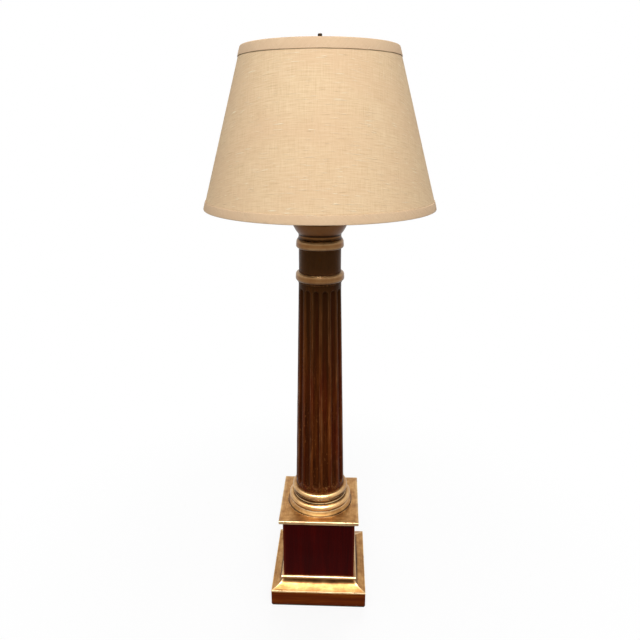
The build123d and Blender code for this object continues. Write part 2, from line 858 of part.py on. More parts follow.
with BuildPart() as harp_stud:
    with Locations((0, 0, harp_seat - stud_block_height)):
        Cylinder(stud_block_radius, stud_block_height, align=from_below)
    chamfer(harp_stud.edges(), min(stud_block_edge, 0.2 * stud_block_height))
    with BuildSketch(Plane.YZ.offset(-stud_block_radius)):
        with Locations((0, harp_wire_top)):
            Circle(wire_radius + seam_gap)
    extrude(amount=2 * stud_block_radius, mode=Mode.SUBTRACT)
    with Locations((0, 0, harp_seat)):
        Cylinder(stud_radius, stud_length, align=from_below)
    stud_turns = int((stud_length - hub_thickness) / stud_thread_pitch)
    stud_thread_start = harp_seat + stud_length - stud_turns * stud_thread_pitch
    grooves = thread_grooves(
        stud_radius, stud_thread_depth, stud_thread_pitch, stud_thread_start, stud_turns
    )
    revolve(grooves, axis=Axis.Z, mode=Mode.SUBTRACT)
save(harp_stud, "harp_stud")

for side, place in {"left": -sleeve_axis_x, "right": sleeve_axis_x}.items():
    with BuildPart() as harp_sleeve:
        sleeve_radius = sleeve_bore + sleeve_wall
        with BuildSketch(Plane(origin=(place, 0, saddle_shoulder))):
            Circle(sleeve_radius)
            Circle(sleeve_bore, mode=Mode.SUBTRACT)
        extrude(amount=sleeve_length)
        for rim in (saddle_shoulder, saddle_shoulder + sleeve_length - 2 * sleeve_bead):
            with BuildSketch(Plane(origin=(place, 0, rim))):
                Circle(sleeve_radius + sleeve_bead)
                Circle(sleeve_bore, mode=Mode.SUBTRACT)
            extrude(amount=2 * sleeve_bead)
    save(harp_sleeve, f"harp_sleeve_{side}")

# ================================================================ socket
with BuildPart() as socket_cap:
    cap_inner = socket_cap_radius - sheet_wall
    dome_foot = socket_bottom + socket_cap_foot
    dome_inner_foot = dome_foot + 2 * sheet_wall
    dome_top = shell_bottom - sheet_wall
    with BuildSketch(Plane.XZ):
        with BuildLine():
            Polyline(
                (nut_hole, rod_top),
                (nut_hole, socket_bottom),
                (socket_hub_radius, socket_bottom),
                (socket_hub_radius, dome_foot),
            )
            TangentArc((socket_cap_radius, dome_top), (socket_hub_radius, dome_foot), tangent=(0, -1))
            Polyline(
                (socket_cap_radius, dome_top),
                (socket_cap_radius, socket_cap_top),
                (cap_inner, socket_cap_top),
                (cap_inner, dome_top),
            )
            TangentArc((cap_inner, dome_top), (socket_hub_radius, dome_inner_foot), tangent=(0, -1))
            Polyline((socket_hub_radius, dome_inner_foot), (socket_hub_radius, rod_top), (nut_hole, rod_top))
        make_face()
    revolve(axis=Axis.Z)
save(socket_cap, "socket_cap")

with BuildPart() as socket_shell:
    bead_z = socket_cap_top + bead_above_cap + shell_bead
    with BuildSketch(Plane.XZ):
        with BuildLine():
            Polyline(
                (shell_radius, bead_z - shell_bead),
                (shell_radius, shell_bottom),
                (shell_radius - shell_lip, shell_bottom),
                (shell_radius - shell_lip, block_bottom),
                (shell_radius - sheet_wall, block_bottom),
                (shell_radius - sheet_wall, shell_top),
                (shell_radius, shell_top),
                (shell_radius, bead_z + shell_bead),
            )
            ThreePointArc(
                (shell_radius, bead_z + shell_bead),
                (shell_radius + shell_bead, bead_z),
                (shell_radius, bead_z - shell_bead),
            )
        make_face()
    revolve(axis=Axis.Z)
    with BuildSketch(Plane.XZ):
        with Locations((0, spindle_level)):
            Circle(spindle_radius + run_gap)
    extrude(amount=2 * shell_radius, mode=Mode.SUBTRACT)
save(socket_shell, "socket_shell")

with BuildPart() as socket_liner:
    with BuildSketch(Plane.XY.offset(block_bottom)):
        Circle(liner_radius)
        Circle(liner_radius - liner_wall, mode=Mode.SUBTRACT)
    extrude(amount=shell_top - liner_end_gap - block_bottom)
    with BuildSketch(Plane.XZ):
        with Locations((0, spindle_level)):
            Circle(spindle_radius + run_gap)
    extrude(amount=2 * shell_radius, mode=Mode.SUBTRACT)
save(socket_liner, "socket_liner")

with BuildPart() as socket_body:
    with Locations((0, 0, block_bottom)):
        Cylinder(block_radius, block_height, align=from_below)
    flat_x = block_radius - block_flat_depth
    terminal_z = block_bottom + terminal_height
    with BuildSketch(Plane.XY.offset(block_bottom)):
        with Locations((block_radius, 0), (-block_radius, 0)):
            Rectangle(2 * block_flat_depth, 2 * block_radius)
    extrude(amount=2 * terminal_height, mode=Mode.SUBTRACT)
    for way in (1, -1):
        with BuildSketch(Plane(origin=(way * flat_x, 0, terminal_z), z_dir=(way, 0, 0))):
            Circle(terminal_shank_radius + seam_gap)
        extrude(amount=-terminal_shank_length, mode=Mode.SUBTRACT)
    with BuildSketch(Plane.XZ.offset(spindle_inner_end)):
        with Locations((0, spindle_level)):
            Circle(spindle_radius + spindle_play)
    extrude(amount=block_radius, mode=Mode.SUBTRACT)
save(socket_body, "socket_body")

with BuildPart() as terminal_screws:
    for way in (1, -1):
        screw_plane = Plane(origin=(way * flat_x, 0, terminal_z), z_dir=(way, 0, 0))
        with BuildSketch(screw_plane):
            Circle(terminal_head_radius)
        extrude(amount=terminal_head_length)
        with BuildSketch(screw_plane):
            Circle(terminal_shank_radius)
        extrude(amount=seam_gap - terminal_shank_length)
        with BuildSketch(screw_plane.offset(terminal_head_length)):
            Rectangle(2 * terminal_head_radius, terminal_slot)
        extrude(amount=-terminal_head_length / 2, mode=Mode.SUBTRACT)
save(terminal_screws, "terminal_screws")

with BuildPart() as socket_screw_shell:
    outer_mean = screw_shell_radius + screw_shell_wall
    shell_floor = block_top + screw_shell_wall
    with BuildSketch(Plane.XZ):
        with BuildLine():
            Polyline(
                (screw_shell_radius, thread_bottom),
                (screw_shell_radius, shell_floor),
                (screw_shell_hole, shell_floor),
                (screw_shell_hole, block_top),
                (outer_mean, block_top),
                (outer_mean, thread_bottom),
            )
            bulb_thread_wave(screw_shell_radius)
            bulb_thread_wave(outer_mean)
            Line((screw_shell_radius, thread_top), (outer_mean, thread_top))
        make_face()
    revolve(axis=Axis.Z)
save(socket_screw_shell, "socket_screw_shell")

with BuildPart() as centre_contact:
    foot_top = block_top + contact_thickness
    head_bottom = bulb_bottom - contact_thickness
    with BuildSketch(Plane.XZ.offset(-contact_width / 2)):
        with BuildLine():
            Polyline(
                (-contact_foot, block_top),
                (contact_foot, block_top),
                (contact_foot, foot_top),
                (-contact_head + contact_thickness, head_bottom),
                (contact_head, head_bottom),
                (contact_head, bulb_bottom),
                (-contact_head, bulb_bottom),
                (-contact_head, head_bottom),
                (contact_foot - 2 * contact_thickness, foot_top),
                (-contact_foot, foot_top),
                close=True,
            )
        make_face()
    extrude(amount=contact_width)
save(centre_contact, "centre_contact")

# ================================================================ switch key
with BuildPart() as switch_spindle:
    with BuildSketch(Plane.XZ.offset(spindle_inner_end)):
        with Locations((0, spindle_level)):
            Circle(spindle_radius)
    extrude(amount=key_start + spindle_in_key - spindle_inner_end)
save(switch_spindle, "switch_spindle")

with BuildPart() as switch_knob:
    with BuildSketch(Plane.XZ.offset(key_start)):
        with Locations((0, spindle_level)):
            Circle(key_radius)
            with PolarLocations(key_radius, key_rib_count):
                Circle(key_rib_radius)
    extrude(amount=key_length)
    with BuildSketch(Plane.XZ.offset(key_start)):
        with Locations((0, spindle_level)):
            Circle(spindle_radius + seam_gap)
    extrude(amount=spindle_in_key + seam_gap, mode=Mode.SUBTRACT)
save(switch_knob, "switch_knob")

# ================================================================ bulb
with BuildPart() as bulb_contact:
    button_mid_x = 0.25 * bulb_button_face + 0.75 * bulb_button_radius
    button_mid_z = bulb_bottom + 0.4 * bulb_button_height
    with BuildSketch(Plane.XZ):
        with BuildLine():
            Line((0, insulator_bottom), (0, bulb_bottom))
            Line((0, bulb_bottom), (bulb_button_face, bulb_bottom))
            ThreePointArc(
                (bulb_button_face, bulb_bottom),
                (button_mid_x, button_mid_z),
                (bulb_button_radius, insulator_bottom),
            )
            Line((bulb_button_radius, insulator_bottom), (0, insulator_bottom))
        make_face()
    revolve(axis=Axis.Z)
save(bulb_contact, "bulb_contact")

with BuildPart() as bulb_insulator:
    with BuildSketch(Plane.XZ):
        with BuildLine():
            Polyline(
                (0, insulator_bottom),
                (bulb_button_radius, insulator_bottom),
                (bulb_insulator_radius, thread_bottom),
                (0, thread_bottom),
                close=True,
            )
        make_face()
    revolve(axis=Axis.Z)
save(bulb_insulator, "bulb_insulator")

with BuildPart() as bulb_screw_cap:
    inner_mean = bulb_thread_radius - bulb_cap_wall
    cap_floor = thread_bottom + bulb_cap_wall
    foot_top_z = thread_bottom + thread_pitch
    with BuildSketch(Plane.XZ):
        with BuildLine():
            Polyline(
                (inner_mean, foot_top_z),
                (inner_mean - thread_depth, foot_top_z),
                (inner_mean - thread_depth, cap_floor),
                (0, cap_floor),
                (0, thread_bottom),
                (bulb_thread_radius, thread_bottom),
            )
            bulb_thread_wave(bulb_thread_radius)
            bulb_thread_wave(inner_mean, first_turn=1)
            Polyline(
                (bulb_thread_radius, thread_top),
                (bulb_thread_radius, bulb_cap_top),
                (inner_mean, bulb_cap_top),
                (inner_mean, thread_top),
            )
        make_face()
    revolve(axis=Axis.Z)
save(bulb_screw_cap, "bulb_screw_cap")


def glass_outline(wall):
    """Draws one face of the glass envelope, from its top down to the neck's foot."""
    ball = bulb_radius - wall
    neck = bulb_neck_radius - wall
    centre = bulb_top - bulb_radius
    angle = radians(bulb_shoulder_angle)
    half = radians((90 - bulb_shoulder_angle) / 2)
    shoulder = (ball * cos(angle), centre - ball * sin(angle))
    ThreePointArc((0, centre + ball), (ball * cos(half), centre + ball * sin(half)), shoulder)
    Spline(shoulder, (neck, bulb_cap_top), tangents=[(-sin(angle), -cos(angle)), (0, -1)])
    Line((neck, bulb_cap_top), (neck, thread_top))


with BuildPart() as bulb_glass:
    with BuildSketch(Plane.XZ):
        with BuildLine():
            glass_outline(0)
            glass_outline(bulb_glass_wall)
            Line((0, bulb_top), (0, bulb_top - bulb_glass_wall))
            Line((bulb_neck_radius, thread_top), (bulb_neck_radius - bulb_glass_wall, thread_top))
        make_face()
    revolve(axis=Axis.Z)
save(bulb_glass, "bulb_glass")

with BuildPart() as bulb_stem:
    stem_top = thread_top + stem_height
    flare_top = thread_top + stem_flare_height
    flare_mid_x = 0.7 * stem_radius + 0.3 * stem_flare_radius
    with BuildSketch(Plane.XZ):
        with BuildLine():
            Line((0, stem_top), (0, thread_top))
            Line((0, thread_top), (stem_flare_radius, thread_top))
            ThreePointArc(
                (stem_flare_radius, thread_top),
                (flare_mid_x, thread_top + 0.35 * stem_flare_height),
                (stem_radius, flare_top),
            )
            Line((stem_radius, flare_top), (stem_radius, stem_top))
            Line((stem_radius, stem_top), (0, stem_top))
        make_face()
    revolve(axis=Axis.Z)
save(bulb_stem, "bulb_stem")

with BuildPart() as bulb_filament:
    filament_z = stem_top + filament_rise
    post_x = stem_radius - 2 * filament_post_radius
    with BuildLine(Plane.XZ) as filament_line:
        FilletPolyline(
            (-post_x, stem_top),
            (-filament_half_span, filament_z),
            (filament_half_span, filament_z),
            (post_x, stem_top),
            radius=filament_bend,
        )
    with BuildSketch(Plane(origin=filament_line.line @ 0, z_dir=filament_line.line % 0)):
        Circle(filament_post_radius)
    sweep(path=filament_line.line)
    with BuildSketch(Plane.XY.offset(stem_top - filament_rise)):
        Rectangle(2 * filament_rise, 2 * filament_rise)
    extrude(amount=filament_rise, mode=Mode.SUBTRACT)
    with BuildSketch(Plane.YZ.offset(-filament_coil_length / 2)):
        with Locations((0, filament_z)):
            Circle(filament_radius)
    extrude(amount=filament_coil_length)
save(bulb_filament, "bulb_filament")

# ================================================================ finial
finial_bore_radius = stud_radius + thread_clearance
finial_bore_top = harp_seat + stud_length + 2 * run_gap

with BuildPart() as finial_base:
    with Locations((0, 0, finial_bottom)):
        Cylinder(finial_foot_radius, finial_foot_height, align=from_below)
    fillet(finial_base.edges(), min(finial_foot_edge, 0.3 * finial_foot_height))
    bore(finial_bore_radius, finial_bottom, finial_foot_top)
save(finial_base, "finial_base")

with BuildPart() as finial_knob:
    shoulder_z = finial_foot_top + finial_belly_height
    belly_z = finial_foot_top + finial_belly_height / 2
    waist_z = finial_foot_top + finial_waist_height
    tip_z = waist_z + finial_tip_height
    with BuildSketch(Plane.XZ):
        with BuildLine():
            Line((0, tip_z), (0, finial_foot_top))
            Line((0, finial_foot_top), (finial_shoulder_radius, finial_foot_top))
            ThreePointArc(
                (finial_shoulder_radius, finial_foot_top),
                (finial_belly_radius, belly_z),
                (finial_shoulder_radius, shoulder_z),
            )
            Spline(
                (finial_shoulder_radius, shoulder_z),
                (finial_waist_radius, waist_z - finial_waist_run),
                tangents=[(-1, 1), (0, 1)],
            )
            Polyline(
                (finial_waist_radius, waist_z - finial_waist_run),
                (finial_waist_radius, waist_z),
                (finial_tip_radius, waist_z),
                (finial_tip_radius, tip_z),
                (0, tip_z),
            )
        make_face()
    revolve(axis=Axis.Z)
    fillet(finial_knob.faces().sort_by(Axis.Z)[-1].edges(), min(finial_tip_round, 0.4 * finial_tip_height))
    bore(finial_bore_radius, finial_foot_top, finial_bore_top)
save(finial_knob, "finial_knob")

# ================================================================ shade
shade_slope = (shade_bottom_radius - shade_top_radius) / shade_height
slant = cos(atan(shade_slope))
linen_depth = trim_thickness + seam_gap
liner_depth = linen_depth + linen_thickness + seam_gap
ring_depth = liner_depth + styrene_thickness + seam_gap
trim_leg_depth = ring_depth + 2 * ring_wire_radius + seam_gap
edge_offset = trim_thickness + seam_gap
ring_offset = edge_offset + ring_wire_radius


def skin_radius(level, depth):
    """Radius, at a level, of the cone that lies this deep inside the shade's outer face."""
    return shade_bottom_radius - (level - shade_bottom) * shade_slope - depth / slant


def wall_section(depth, thickness):
    """Section of one layer of the shade's wall, between the two folds of the trim."""
    low = shade_bottom + edge_offset
    high = shade_top - edge_offset
    with BuildSketch(Plane.XZ) as section:
        with BuildLine():
            Polyline(
                (skin_radius(low, depth), low),
                (skin_radius(high, depth), high),
                (skin_radius(high, depth + thickness), high),
                (skin_radius(low, depth + thickness), low),
                close=True,
            )
        make_face()
    return section.sketch


def trim_section(edge, inward, band):
    """Section of a band of cloth folded over the shade's edge and the wire ring inside it."""
    band_end = edge + inward * band
    fold = edge + inward * trim_thickness
    ring_end = edge + inward * (ring_offset + ring_wire_radius)
    return_end = edge + inward * trim_return
    with BuildSketch(Plane.XZ) as section:
        with BuildLine():
            Polyline(
                (skin_radius(band_end, 0), band_end),
                (skin_radius(edge, 0), edge),
                (skin_radius(edge, trim_leg_depth + trim_thickness), edge),
                (skin_radius(ring_end, trim_leg_depth + trim_thickness), ring_end),
                (skin_radius(return_end, ring_depth + trim_thickness), return_end),
                (skin_radius(return_end, ring_depth), return_end),
                (skin_radius(ring_end, trim_leg_depth), ring_end),
                (skin_radius(fold, trim_leg_depth), fold),
                (skin_radius(fold, trim_thickness), fold),
                (skin_radius(band_end, trim_thickness), band_end),
                close=True,
            )
        make_face()
    return section.sketch


with BuildPart() as shade_linen:
    revolve(wall_section(linen_depth, linen_thickness), axis=Axis.Z)
save(shade_linen, "shade_linen")

with BuildPart() as shade_liner:
    revolve(wall_section(liner_depth, styrene_thickness), axis=Axis.Z)
save(shade_liner, "shade_liner")

top_ring_z = shade_top - ring_offset
bottom_ring_z = shade_bottom + ring_offset
top_ring_radius = skin_radius(top_ring_z, ring_depth + ring_wire_radius)
bottom_ring_radius = skin_radius(bottom_ring_z, ring_depth + ring_wire_radius)

with BuildPart() as shade_top_ring:
    with BuildSketch(Plane.XZ):
        with Locations((top_ring_radius, top_ring_z)):
            Circle(ring_wire_radius)
    revolve(axis=Axis.Z)
save(shade_top_ring, "shade_top_ring")

with BuildPart() as shade_bottom_ring:
    with BuildSketch(Plane.XZ):
        with Locations((bottom_ring_radius, bottom_ring_z)):
            Circle(ring_wire_radius)
    revolve(axis=Axis.Z)
save(shade_bottom_ring, "shade_bottom_ring")

with BuildPart() as shade_top_trim:
    revolve(trim_section(shade_top, -1, top_trim_band), axis=Axis.Z)
    slit_width = 2 * (arm_radius + trim_slit_play)
    slit_bottom = shade_top - trim_return - trim_thickness
    slit_top = top_ring_z + arm_radius + trim_slit_play
    with BuildSketch(Plane.XY.offset(slit_bottom)):
        with PolarLocations(top_ring_radius - 2 * ring_wire_radius, arm_count, start_angle=arm_turn):
            Rectangle(4 * ring_wire_radius, slit_width)
    extrude(amount=slit_top - slit_bottom, mode=Mode.SUBTRACT)
save(shade_top_trim, "shade_top_trim")

with BuildPart() as shade_bottom_trim:
    revolve(trim_section(shade_bottom, 1, bottom_trim_band), axis=Axis.Z)
save(shade_bottom_trim, "shade_bottom_trim")

with BuildPart() as spider_hub:
    with Locations((0, 0, harp_seat)):
        Cylinder(hub_radius, hub_thickness, align=from_below)
    bore(stud_radius + hub_hole_play, harp_seat, hub_top)
save(spider_hub, "spider_hub")

with BuildPart() as spider_arm:
    arm_z = harp_seat + hub_thickness / 2
    with BuildLine(Plane.XZ) as arm_line:
        FilletPolyline(
            (hub_radius - arm_weld, arm_z),
            (hub_radius + arm_inner_run, arm_z),
            (top_ring_radius - arm_outer_run, top_ring_z),
            (top_ring_radius, top_ring_z),
            radius=arm_bend_radius,
        )
    with BuildSketch(Plane(origin=arm_line.line @ 0, z_dir=arm_line.line % 0)):
        Circle(arm_radius)
    sweep(path=arm_line.line)
    add(spider_hub.part, mode=Mode.SUBTRACT)
    add(shade_top_ring.part, mode=Mode.SUBTRACT)

with BuildPart() as spider_arms:
    with PolarLocations(0, arm_count, start_angle=arm_turn):
        add(spider_arm.part)
save(spider_arms, "spider_arms")
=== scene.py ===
import json
from math import atan, atan2, cos, hypot, pi, radians, sin, tau

import bpy
import numpy as np
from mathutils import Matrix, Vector, noise


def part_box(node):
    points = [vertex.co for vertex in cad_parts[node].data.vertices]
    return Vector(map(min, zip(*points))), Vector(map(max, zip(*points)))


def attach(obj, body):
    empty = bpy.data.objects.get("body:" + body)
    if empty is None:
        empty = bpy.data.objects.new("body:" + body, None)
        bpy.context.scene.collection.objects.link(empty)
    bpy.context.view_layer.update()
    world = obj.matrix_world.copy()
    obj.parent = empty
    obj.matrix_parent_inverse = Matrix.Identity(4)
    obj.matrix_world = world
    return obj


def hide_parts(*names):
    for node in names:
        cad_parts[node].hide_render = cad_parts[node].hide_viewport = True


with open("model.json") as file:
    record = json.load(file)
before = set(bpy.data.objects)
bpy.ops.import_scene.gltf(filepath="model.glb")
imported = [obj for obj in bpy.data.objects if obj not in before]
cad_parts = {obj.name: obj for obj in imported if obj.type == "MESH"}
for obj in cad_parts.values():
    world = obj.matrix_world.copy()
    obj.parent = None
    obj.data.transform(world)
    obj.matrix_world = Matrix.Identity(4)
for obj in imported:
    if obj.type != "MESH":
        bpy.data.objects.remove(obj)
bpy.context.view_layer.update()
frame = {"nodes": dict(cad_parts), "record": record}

# Looks of the column table lamp. Meshes and lights are in metres. The outlines of the pieces are
# drawn in millimetres, like their sizes, and are brought to metres when they become a mesh.
MM = 0.001

# ---------------- sizes of the pieces, in millimetres
pipe_bore = 5.2  # hole through the turned pieces
shaft_foot = 45.4  # radius
shaft_head = 36.4
astragal_height = 15.6
drum = 35.8
drum_height = 40.7
flute_count = 15
flute_turn = -98.0  # degrees from +X to the middle of a flute
flute_radius_ratio = 0.2056  # radius of a flute's section over the shaft's radius there
flute_depth_ratio = 0.087
foot_margin = 8.0  # from the shaft's ends to the flutes
head_margin = 10.0
arris_round = 0.16  # how softly a flute meets the ridge beside it
land_fade = 1.3  # depth over which a ridge's colour gives way to a flute's
mitre_ease = 0.35

# Shade: the outer face of the linen, and the bands of cloth folded over its edges
linen_depth = 0.75  # below the outer face of the bands
linen_thickness = 0.6
liner_thickness = 0.7
top_band = 14.5
bottom_band = 13.0
band_inside = 9.0
band_bulge = 0.22
hem_round = 0.8
band_thickness = 0.7
lap_width = 11.0  # where the sheet's end lies over its start, at the back

# Wobble of handmade surfaces
wobble_size = 26.0
wobble_depth = 0.13
dent_size = 5.0
dent_depth = 0.035
noise.seed_set(7)  # keeps the wobble the same in every run


# ================ outlines
class Outline:
    """Closed section of a piece, as points (distance out, level) that run outward along its foot,
    up its outer side and back in over its top."""

    def __init__(self, out, level):
        self.points = [(out, level)]

    def to(self, *points):
        """Straight runs to further points."""
        self.points.extend(points)
        return self

    def arc(self, out, level, sag, steps=12):
        """A round run, which stands out by sag to the right of its chord."""
        x, z = self.points[-1]
        chord = hypot(out - x, level - z)
        way = np.array((out - x, level - z)) / chord
        right = np.array((way[1], -way[0]))
        half = 2 * atan(2 * sag / chord)
        radius = chord / (2 * sin(half))
        middle = np.array((x + out, z + level)) / 2
        for step in range(1, steps + 1):
            turn = half * (2 * step / steps - 1)
            point = middle + radius * sin(turn) * way + radius * (cos(turn) - cos(half)) * right
            self.points.append(tuple(point))
        return self

    def corner(self, out, level, radius):
        """A quarter round to a point, of this radius, bulging outward."""
        return self.arc(out, level, radius * (1 - cos(radians(45))), 6)

    def loop(self, ease, step):
        """The closed outline with its sharp corners eased and its long runs divided."""
        points = [np.array(p, float) for p in self.points]
        if np.linalg.norm(points[0] - points[-1]) < 1e-6:
            points.pop()
        eased = []
        for i, here in enumerate(points):
            back, ahead = points[i - 1] - here, points[(i + 1) % len(points)] - here
            back_run, ahead_run = np.linalg.norm(back), np.linalg.norm(ahead)
            straight = back @ ahead / (back_run * ahead_run) < -cos(radians(25))
            if straight or ease == 0:
                eased.append(here)
                continue
            cut = min(ease, 0.42 * back_run, 0.42 * ahead_run)
            start, end = here + back / back_run * cut, here + ahead / ahead_run * cut
            for t in np.linspace(0, 1, 5):
                eased.append((1 - t) ** 2 * start + 2 * t * (1 - t) * here + t**2 * end)
        divided = []
        for i, here in enumerate(eased):
            ahead = eased[(i + 1) % len(eased)]
            parts = max(1, int(np.ceil(np.linalg.norm(ahead - here) / step)))
            divided.extend(here + (ahead - here) * k / parts for k in range(parts))
        return np.array(divided)


# ================ rings round the lamp's axis
def round_ring(count):
    """A round ring: gives its points for a radius, from the back and on past the left side."""
    turns = np.arange(count) / count * tau + pi / 2
    circle = np.stack((np.cos(turns), np.sin(turns)), 1)
    return lambda out: out * circle


def square_side(along, corner):
    """The front side of a square ring, from the middle of one rounded corner to the next."""

    def side(out):
        radius = min(corner, out)
        core = out - radius
        left = np.linspace(radians(225), radians(270), 4)
        right = np.linspace(radians(270), radians(315), 4)
        start = np.stack((-core + radius * np.cos(left), -core + radius * np.sin(left)), 1)
        end = np.stack((core + radius * np.cos(right), -core + radius * np.sin(right)), 1)
        share = np.linspace(-1, 1, along + 2)[1:-1]
        middle = np.stack((core * share, np.full(along, -out)), 1)
        return np.concatenate((start, middle, end))

    return side


def turned_by(points, quarter):
    """Points turned about the axis by quarter turns."""
    c, s = [(1, 0), (0, 1), (-1, 0), (0, -1)][quarter % 4]
    return points @ np.array(((c, s), (-s, c)))


def square_ring(along, corner):
    """A whole square ring, with rounded corners."""
    side = square_side(along, corner)
    return lambda out: np.concatenate([turned_by(side(out), k)[:-1] for k in range(4)])


# ================ meshes
def swept_grid(loop, ring):
    """Rows of points in space: one row for each point of the outline, carried round the ring."""
    rows = []
    for out, level in loop:
        flat = ring(out)
        rows.append(np.column_stack((flat, np.full(len(flat), level))))
    return np.array(rows)


def wobbled(points, depth=wobble_depth):
    """The points moved a little by smooth noise, so that edges and gloss aren't ruler-straight."""
    moved = points.copy()
    for i, point in enumerate(points):
        slow = noise.noise_vector(Vector(point) / wobble_size)
        fast = noise.noise_vector(Vector(point) / dent_size)
        moved[i] += np.array(slow) * depth + np.array(fast) * dent_depth * depth / wobble_depth
    return moved


def mark_ridges_and_hollows(mesh):
    """Stores on each point how much it stands out (ridge) or lies in a corner (hollow), from 0 to 1."""
    full_ridge, full_hollow, spread = 380.0, 55.0, 3
    count = len(mesh.vertices)
    points, normals = np.zeros(count * 3), np.zeros(count * 3)
    mesh.vertices.foreach_get("co", points)
    mesh.vertices.foreach_get("normal", normals)
    points, normals = points.reshape(-1, 3), normals.reshape(-1, 3)
    ends = np.zeros(len(mesh.edges) * 2, int)
    mesh.edges.foreach_get("vertices", ends)
    a, b = ends.reshape(-1, 2).T
    way = points[b] - points[a]
    bend = ((normals[b] - normals[a]) * way).sum(1) / np.maximum((way**2).sum(1), 1e-12)
    share = np.maximum(np.bincount(a, minlength=count) + np.bincount(b, minlength=count), 1)

    def mean_of(values_a, values_b):
        total = np.bincount(a, values_a, count) + np.bincount(b, values_b, count)
        return total / share

    curve = mean_of(bend, bend)
    for _ in range(spread):
        curve = 0.5 * curve + 0.5 * mean_of(curve[b], curve[a])
    for name, values in (("ridge", curve / full_ridge), ("hollow", -curve / full_hollow)):
        layer = mesh.attributes.new(name, "FLOAT", "POINT")
        layer.data.foreach_set("value", np.clip(values, 0, 1).astype(np.float32))


def quads(rows, columns, close_rows, close_columns):
    """Faces of a grid of points, which may close on itself either way."""
    i = np.arange(rows if close_rows else rows - 1)[:, None]
    j = np.arange(columns if close_columns else columns - 1)[None, :]
    below, above = (i % rows) * columns, ((i + 1) % rows) * columns
    here, ahead = j % columns, (j + 1) % columns
    corners = np.stack((below + here, below + ahead, above + ahead, above + here), -1)
    return corners.reshape(-1, 4).tolist()


def capped_quads(rows, columns):
    """Faces of a closed outline carried from one end to another, with both ends closed."""
    first = [row * columns for row in range(rows)]
    last = [row * columns + columns - 1 for row in reversed(range(rows))]
    return [*quads(rows, columns, True, False), first, last]


def add_object(name, data):
    """A new object in the scene, made of this data."""
    made = bpy.data.objects.new(name, data)
    bpy.context.scene.collection.objects.link(made)
    return made


def make_piece(name, points, faces, look, body, replaced=(), layers=None, sharp=40):
    """Makes a piece from points in millimetres and layers in metres or shares, and lets it ride."""
    mesh = bpy.data.meshes.new(name)
    mesh.from_pydata((points * MM).tolist(), [], faces)
    mesh.polygons.foreach_set("use_smooth", np.ones(len(mesh.polygons), bool))
    mesh.set_sharp_from_angle(angle=radians(sharp))
    for layer_name, values in (layers or {}).items():
        kind = "FLOAT" if values.ndim == 1 else "FLOAT_VECTOR"
        layer = mesh.attributes.new(layer_name, kind, "POINT")
        key = "value" if values.ndim == 1 else "vector"
        layer.data.foreach_set(key, values.astype(np.float32).ravel())
    mesh.update()
    mark_ridges_and_hollows(mesh)
    mesh.materials.append(look.material)
    piece = add_object(name, mesh)
    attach(piece, body)
    if replaced:
        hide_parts(*replaced)
    return piece


def across_of(loop):
    """Length along the outline up to each of its points."""
    steps = np.linalg.norm(np.roll(loop, -1, 0) - loop, axis=1)
    return np.concatenate(((0,), np.cumsum(steps)[:-1]))


def swept_piece(name, outline, ring, look, body="lamp", ease=0.5, step=2.0, wobble=wobble_depth):
    """A closed outline carried round the axis. It replaces the node of its own name."""
    loop = outline.loop(ease, step)
    grid = swept_grid(loop, ring)
    rows, columns = grid.shape[:2]
    across = np.repeat(across_of(loop), columns) * MM
    points = wobbled(grid.reshape(-1, 3), wobble) if wobble else grid.reshape(-1, 3)
    return make_piece(
        name + "_finish", points, quads(rows, columns, True, True), look, body, [name], {"across": across}
    )


def mitred_pieces(name, outline, look, along, ease=0.5, step=2.0):
    """Four equal pieces round the square, mitred at the corners, front, right, back and left."""
    loop = outline.loop(ease, step)
    front = swept_grid(loop, square_side(along, mitre_ease))
    rows, columns = front.shape[:2]
    faces = capped_quads(rows, columns)
    across = np.repeat(across_of(loop), columns) * MM
    for quarter, side in enumerate(("front", "right", "back", "left")):
        points = front.reshape(-1, 3).copy()
        points[:, :2] = turned_by(points[:, :2], quarter)
        node = f"{name}_{side}"
        make_piece(node + "_finish", wobbled(points), faces, look, "lamp", [node], {"across": across})


# ================ materials
def tone(red, green, blue):
    """A colour given as it looks on a screen, 0 to 255, as the linear colour of a shader."""
    parts = np.array((red, green, blue)) / 255
    linear = np.where(parts <= 0.04045, parts / 12.92, ((parts + 0.055) / 1.055) ** 2.4)
    return (*(float(part) for part in linear), 1.0)


class Nodes:
    """A tree of nodes. Each method adds a node and gives its output."""

    def __init__(self, tree):
        self.tree = tree

    def fill(self, node, inputs):
        for name, value in inputs.items():
            if isinstance(value, bpy.types.NodeSocket):
                self.tree.links.new(value, node.inputs[name])
            else:
                node.inputs[name].default_value = value

    def add(self, kind, inputs=None, **settings):
        node = self.tree.nodes.new(kind)
        for name, value in settings.items():
            setattr(node, name, value)
        self.fill(node, inputs or {})
        return node

    def math(self, way, a, b=0.0, c=0.0):
        return self.add("ShaderNodeMath", {0: a, 1: b, 2: c}, operation=way).outputs[0]

    def times(self, a, b):
        return self.math("MULTIPLY", a, b)

    def span(self, amount, low, high, to_low=0.0, to_high=1.0):
        """The amount brought from one range to another, and held there."""
        values = {"Value": amount, "From Min": low, "From Max": high, "To Min": to_low, "To Max": to_high}
        return self.add("ShaderNodeMapRange", values).outputs[0]


